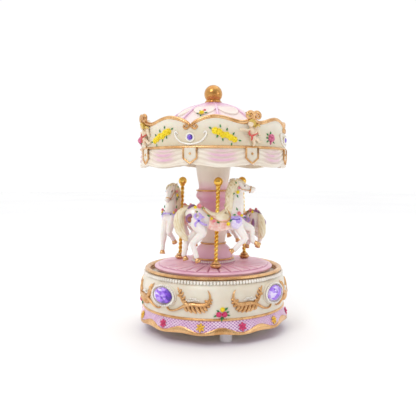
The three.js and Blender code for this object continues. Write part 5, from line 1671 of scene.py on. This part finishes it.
    def stones(self) -> None:
        """Round stones in pearl settings, each over a curled smile of cord."""
        level = 140.1
        setting = [(2.5 * math.cos(a), -0.5, level + 2.5 * math.sin(a), 0.62) for a in (TAU * k / 24 for k in range(24))]
        cord = [(-9.0, -0.3, 142.6, 0.35), (-9.6, -0.5, 143.6, 0.5), (-10.6, -0.5, 143.9, 0.6),
                (-11.0, -0.5, 142.8, 0.6), (-10.4, -0.5, 140.9, 0.6), (-8.6, -0.5, 138.6, 0.62),
                (-5.4, -0.5, 136.6, 0.62), (0, -0.5, 135.7, 0.65)]
        smile = flow(cord + [(-x, y, z, r) for x, y, z, r in reversed(cord[:-1])], 4)
        white = wrap(join([pipe(setting, 8, closed=True), pipe(smile, 8), blob((0, -0.1, level), (2.5, 0.5, 2.5))]),
                     lambda z: 53.7, self.bay_heading)
        turns = [Matrix.Rotation(TAU / self.bays * k, 4, "Z") for k in range(self.bays)]
        deliver(copies(white, turns), "canopy_stone_settings", Body.CAROUSEL, Paints.PEARL, sharp=80)
        for k in range(self.bays):
            stone = faceted_stone(3.7, 3.7, 1.5, 10)
            stone.data.transform(on_wall(self.bay_heading + 90 * k, 54.1, level))
            deliver(stone, f"canopy_stone_{k + 1}", Body.CAROUSEL, Paints.DEEPSTONE, [f"canopy_gem_{k + 1}"], sharp=1)

    def flowers(self) -> None:
        """Garlands of yellow roses in two bays, and pink roses in the other two."""
        garden = Garden(Body.CAROUSEL, "canopy")
        for k in range(self.bays):
            bay = self.bay_heading + 90 * k
            for side in (-1, 1):
                if k % 2 == 0:
                    for step in range(6):
                        share = step / 5
                        at = bay + side * (17.8 + 13.8 * share)
                        level = 144.3 - 5.4 * share + 0.5 * math.sin(2.4 * step)
                        garden.plant(Bloom.ROSE, Paints.YELLOW, on_wall(at, 53.3, level, 50 * step, 2.75 - 0.06 * step))
                    for off, level, spin in ((15.2, 145.6, -60), (19.6, 141.4, 200), (23, 139.4, 170), (29.6, 136.4, 190),
                                             (30.4, 141.6, 30), (26, 144.2, 10), (34.6, 138, 95), (21.6, 146.4, -10)):
                        garden.plant(Bloom.LEAF, Paints.LEAF,
                                     on_wall(bay + side * off, 53.7, level, spin * side, 2.1))
                else:
                    at = bay + side * 26.0
                    garden.plant(Bloom.ROSE, Paints.DUSTY, on_wall(at, 53.4, 140.4, 20, 3.4))
                    garden.plant(Bloom.ROSE, Paints.DUSTY, on_wall(at + side * 0.6, 53.5, 136.8, 20, 1.1))
                    for off, level, spin in ((3.0, 142.2, 55), (3.2, 140.4, 85), (3.0, 138.6, 120), (0.4, 142.6, 0),
                                             (-2.4, 138.4, -130)):
                        garden.plant(Bloom.LEAF, Paints.LEAF, on_wall(at + side * off, 53.6, level, spin * side, 2.4))
        garden.grow()

    def cherubs(self) -> None:
        """Small winged figures in relief, with plain rounded faces."""
        skin = [blob((-0.8, -2.4, 148.6), (1.75, 1.7, 2.0), (0, 12, 0)), blob((-2.2, -3.0, 148.1), (0.5, 0.4, 0.4)),
                pipe(flow([(-0.2, -1.6, 146.6, 1.0), (0.1, -1.6, 144.6, 1.75), (0.6, -1.7, 142.4, 1.6),
                           (1.0, -1.6, 140.4, 1.75)], 3), 10),
                pipe(flow([(-0.6, -1.8, 145, 0.9), (-3.2, -2.0, 144.6, 0.8), (-5.4, -1.8, 145.2, 0.75),
                           (-7.6, -1.6, 144.9, 0.6)], 3), 8),
                pipe(flow([(1.2, -1.8, 145, 0.8), (2.8, -2.2, 143.6, 0.7), (1.6, -2.6, 142.4, 0.6)], 3), 8),
                pipe(flow([(0.4, -1.8, 140.4, 1.2), (1.4, -2.2, 137.9, 1.0), (1.7, -1.6, 135.9, 0.8),
                           (1.0, -1.6, 135.2, 0.6)], 3), 8),
                pipe(flow([(1.6, -1.6, 140, 1.2), (4.0, -1.8, 139.2, 1.0), (5.6, -1.4, 137.8, 0.9),
                           (7.8, -1.2, 138, 0.6)], 3), 8)]
        for k in range(4):
            feather = [(1.6, -0.9, 145.6, 0.7), (3.6 + 0.6 * k, -1.3, 147.6 - 1.4 * k, 0.9),
                       (5.4 + 0.2 * k, -0.9, 147.2 - 1.9 * k, 0.5)]
            skin.append(pipe(flow(feather, 3), 8))
        locks = [blob((-0.2, -2.7, 150.0), (2.0, 1.7, 1.3), (0, 25, 0)), blob((0.9, -2.4, 148.8), (1.1, 1.6, 2.0))]
        locks += [blob((-0.4 + 2.0 * math.sin(a), -3.3, 149 + 1.9 * math.cos(a)), (0.7, 0.7, 0.7)) for a in
                  (-0.7, 0, 0.7, 1.3, 1.9)]
        locks += [pipe(flow([(2.2, -1.6, 146.4, 0.5), (4, -2.2, 148.2, 0.8), (6.2, -1.4, 147.2, 0.4)], 3), 8)]
        sash = [pipe(flow(path, 3), 8) for path in (
            [(-1.6, -2.9, 144.4, 0.35), (-2.2, -2.9, 142.8, 0.55), (-1.2, -3.2, 141.4, 0.6), (0.6, -3.4, 141.6, 0.6),
             (2.6, -3.0, 142.4, 0.5), (4.2, -2.0, 143.2, 0.4)],
            [(-0.8, -3.2, 141.4, 0.5), (-0.4, -3.2, 139.8, 0.6), (-0.9, -2.8, 138.2, 0.4)])]
        turns = [Matrix.Rotation(TAU / self.bays * k, 4, "Z") for k in range(self.bays)]
        for parts, name, finish in ((skin, "cherubs", Paints.SKIN), (locks, "cherub_hair", Paints.BLOND),
                                    (sash, "cherub_sashes", Paints.RED)):
            figure = melt(parts, 0.24, 2)
            for vertex in figure.data.vertices:
                vertex.co.x = vertex.co.x * 1.12 - 1.0
                vertex.co.y *= 1.12
                vertex.co.z = 142.4 + (vertex.co.z - 142.4) * 1.08
            figure = wrap(figure, lambda level: 53.2, self.bay_heading + 45)
            deliver(copies(figure, turns), name, Body.CAROUSEL, finish, sharp=80)

    def build(self) -> None:
        """Makes all of the canopy."""
        self.wall()
        self.trim()
        self.valance()
        self.tabs()
        self.stones()
        self.flowers()
        self.cherubs()


@dataclass
class Dome:
    """The ribbed dome with a second, shorter drape over each panel."""

    ribs: int = 8
    outline: tuple[Point, ...] = ((47, 143.5), (42, 148), (36, 153.5), (28.7, 159), (24.7, 161.7), (21.5, 163.9),
                                  (15.2, 166.4), (10, 167.8), (6.1, 168.9))

    def rib(self, heading: float) -> float:
        """1 on a rib and 0 between ribs."""
        off = abs((heading + 180 / self.ribs) % (360 / self.ribs) - 180 / self.ribs)
        return off

    def skin(self, radius: float) -> float:
        """Height of the dome at a radius."""
        return between(-radius, [(-r, z) for r, z in self.outline])

    def build(self) -> None:
        """Makes the dome, its drapes, ribs and flowers."""
        smooth = flow(self.outline, 4)
        inner = [(r - 1.6, z - 1.8) for r, z in reversed(smooth) if r > 8]
        shell = turn([(50.2, 143.5), *smooth, (2.2, 168.9), (2.2, 166.6), *inner, (46, 143.5)], 192, closed=True)

        def belly(heading: float, radius: float, level: float) -> tuple[float, float]:
            """Sinks the cloth between the ribs."""
            off = self.rib(heading) / (180 / self.ribs)
            sunk = 0.7 + 0.9 * math.sin(math.pi / 2 * min(1, off * 1.2)) * min(1, radius / 30)
            return radius, level - sunk * (level > 146)

        deliver(reshape(shell, belly), "dome_cloth", Body.CAROUSEL, Paints.DOME, ["dome"])
        over = [(r, z + 0.1) for r, z in smooth if 6 <= r <= 30]
        under = [(r, z - 0.9) for r, z in reversed(smooth) if 6 <= r <= 30]
        drape = turn(over + under, 192, closed=True)

        def scallop(heading: float, radius: float, level: float) -> tuple[float, float]:
            """Ends each drape in a curved edge that rises at the ribs."""
            off = 1 - self.rib(heading) / (180 / self.ribs)
            reach = 0.72 + 0.28 * (1 - off * off)
            close = 7 + (radius - 7) * reach
            sink = 0.5 * (1 - off * off) * min(1, close / 30)
            return close, self.skin(close) + (level - self.skin(radius)) - sink

        deliver(reshape(drape, scallop), "dome_drapes", Body.CAROUSEL, Paints.DOME)
        ribs = []
        for k in range(self.ribs):
            rod = pipe([(0, -r, z - 0.25, 0.5 + 0.55 * r / 47) for r, z in smooth if r < 46], 10)
            rod.data.transform(Matrix.Rotation(TAU / self.ribs * k, 4, "Z"))
            ribs.append(rod)
        deliver(join(ribs), "dome_ribs", Body.CAROUSEL, Paints.DOMERIB)
        garden = Garden(Body.CAROUSEL, "dome")
        for k in range(4):
            heading = -22.5 + 90 * k
            for paint, bloom, off, radius, spin, size in (
                    (Paints.YELLOW, Bloom.ROSE, 0, 28.6, 0, 2.2), (Paints.BLUSH, Bloom.ROSE, 2.4, 25.4, 30, 1.4),
                    (Paints.LEAF, Bloom.LEAF, 4, 28.4, 80, 2.3), (Paints.LEAF, Bloom.LEAF, -3.6, 28.8, -100, 2.3),
                    (Paints.LEAF, Bloom.LEAF, 0.4, 31, 180, 2.3), (Paints.LEAF, Bloom.LEAF, -3, 26.6, -40, 2.0)):
                garden.plant(bloom, paint, on_wall(heading + off, radius, self.skin(radius) - 0.5, spin, size, 55))
        garden.grow()


@dataclass
class Finial:
    """The gold ball on its stepped collar."""

    def build(self) -> None:
        """Makes both."""
        steps = [math.radians(-62 + 6.2 * k) for k in range(25)]
        ball = turn([(0, 170.6), (3.2, 170.2)] + [(6.8 * math.cos(a), 175.7 + 6.8 * math.sin(a)) for a in steps]
                    + [(0, 182.5)], 64)
        deliver(ball, "finial_gold_ball", Body.CAROUSEL, Paints.LEAFGOLD, ["finial_ball"], 80)
        collar = turn([(2.2, 169), (6.2, 169), (6.45, 169.5), (6.2, 170.1), (5.4, 170.4), (5.5, 170.9), (4.9, 171.4),
                       (3.6, 171.6), (2.2, 171.6)], 64, closed=True)
        deliver(collar, "finial_gold_collar", Body.CAROUSEL, Paints.LEAFGOLD, ["finial_collar"])


# ---- Movement and fixings ----------------------------------------------------------------------------


@dataclass
class Works:
    """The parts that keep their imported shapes: movement, key, board, feet and screws."""

    finishes: tuple[tuple[Finish, tuple[str, ...]], ...] = (
        (Paints.BOARD, ("bottom_plate",)),
        (Paints.PLASTIC, ("foot_",)),
        (Paints.STEEL, ("plate_screw", "bed_screw", "comb_screw", "comb", "winding_arbor", "mainspring", "tie_")),
        (Paints.ZINC, ("bedplate", "comb_block", "governor_frame", "winding_key", "disc_flange")),
        (Paints.GEARBRASS, ("cylinder_bracket", "pin_cylinder", "governor_wheel", "governor_fan", "spring_barrel",
                            "drive_gear")),
    )

    def build(self) -> None:
        """Paints each carried-over part."""
        chosen: dict[str, Finish] = {}
        for finish, starts in self.finishes:
            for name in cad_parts:
                if name.startswith(starts) and not (name == "comb_block" and finish is Paints.STEEL):
                    chosen[name] = finish
        for name, finish in chosen.items():
            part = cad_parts[name]
            part.data.materials.clear()
            part.data.materials.append(finish.material())
            log.info("%s keeps its shape, in %s", name, finish.name)


# ---- Studio ------------------------------------------------------------------------------------------


@dataclass
class Lamp:
    """A soft square light that faces the music box."""

    name: str
    place: Point
    size: float
    power: float
    colour: Point = (1.0, 1.0, 1.0)

    def hang(self) -> None:
        """Adds the lamp."""
        light = bpy.data.lights.new(self.name, "AREA")
        light.shape = "SQUARE"
        light.size = self.size
        light.energy = self.power
        light.color = tuple(self.colour)
        lamp = bpy.data.objects.new(self.name, light)
        bpy.context.collection.objects.link(lamp)
        lamp.location = tuple(self.place)
        aim = Vector((0, 0, 0.1)) - lamp.location
        lamp.rotation_euler = aim.to_track_quat("-Z", "Y").to_euler()


@dataclass
class Studio:
    """The floor, sky, lamps and camera, in metres."""

    distance: float = 0.40846
    camera_heading: float = -6.0
    eye_level: float = 0.1165
    pitch: float = 3.72
    lens: float = 46.48
    shift: float = -0.01274
    bright_sky: float = 1.02
    dim_sky: float = 0.44
    sun_power: float = 0.62
    sun_angle: float = 75.0
    lamps: tuple[Lamp, ...] = (
        Lamp("key", (-0.5, -0.65, 0.85), 0.35, 3.1, (1.0, 0.985, 0.96)),
        Lamp("fill", (0.8, -0.6, 0.35), 0.3, 0.9, (0.97, 0.985, 1.0)),
    )

    def floor(self) -> None:
        """A wide pale sheet under and behind the music box."""
        sheet = fresh(bpy.ops.mesh.primitive_grid_add, x_subdivisions=40, y_subdivisions=40, size=6)
        sheet.name = sheet.data.name = "studio_floor"
        finish = Finish("studio_paper", "", "FCFCFC", "F8F8F9", 0.6, clouds=0.002, grain=0.4, depth=0.0)
        sheet.data.materials.append(finish.material())

    def camera(self) -> None:
        """The camera, level with the canopy's foot and tipped slightly down."""
        lens = bpy.data.cameras.new("camera")
        lens.lens = self.lens
        lens.sensor_width = 36
        lens.shift_x = self.shift
        lens.clip_start = 0.01
        camera = bpy.data.objects.new("camera", lens)
        bpy.context.collection.objects.link(camera)
        heading = math.radians(self.camera_heading)
        camera.location = (self.distance * math.sin(heading), -self.distance * math.cos(heading), self.eye_level)
        camera.rotation_euler = (math.radians(90 - self.pitch), 0, heading)
        bpy.context.scene.camera = camera

    def build(self) -> None:
        """Sets up the studio."""
        self.floor()
        self.camera()
        for lamp in self.lamps:
            lamp.hang()
        sun = bpy.data.lights.new("overhead", "SUN")
        sun.energy = self.sun_power
        sun.angle = math.radians(self.sun_angle)
        bpy.context.collection.objects.link(bpy.data.objects.new("overhead", sun))
        world = bpy.data.worlds.new("studio")
        world.use_nodes = True
        tree = world.node_tree
        direction = tree.nodes.new("ShaderNodeTexCoord")
        split = tree.nodes.new("ShaderNodeSeparateXYZ")
        ramp = tree.nodes.new("ShaderNodeMapRange")
        ramp.interpolation_type = "SMOOTHSTEP"
        for socket, value in zip(ramp.inputs[1:5], (-0.75, 0.2, self.dim_sky, self.bright_sky)):
            socket.default_value = value
        tree.links.new(direction.outputs["Generated"], split.inputs[0])
        tree.links.new(split.outputs["Y"], ramp.inputs[0])
        tree.links.new(ramp.outputs[0], tree.nodes["Background"].inputs["Strength"])
        tree.nodes["Background"].inputs["Color"].default_value = (1, 1, 1, 1)
        bpy.context.scene.world = world
        bpy.context.scene.view_settings.view_transform = "Standard"


def main() -> None:
    """Builds the studio and every sub-assembly in order."""
    logging.basicConfig(level=logging.INFO, format="%(message)s")
    for assembly in (Studio(), Works(), Drum(), TurningDisc(), Column(), Ride(), Canopy(), Dome(), Finial()):
        log.info("building %s", type(assembly).__name__)
        assembly.build()


if __name__ == "__main__":
    main()
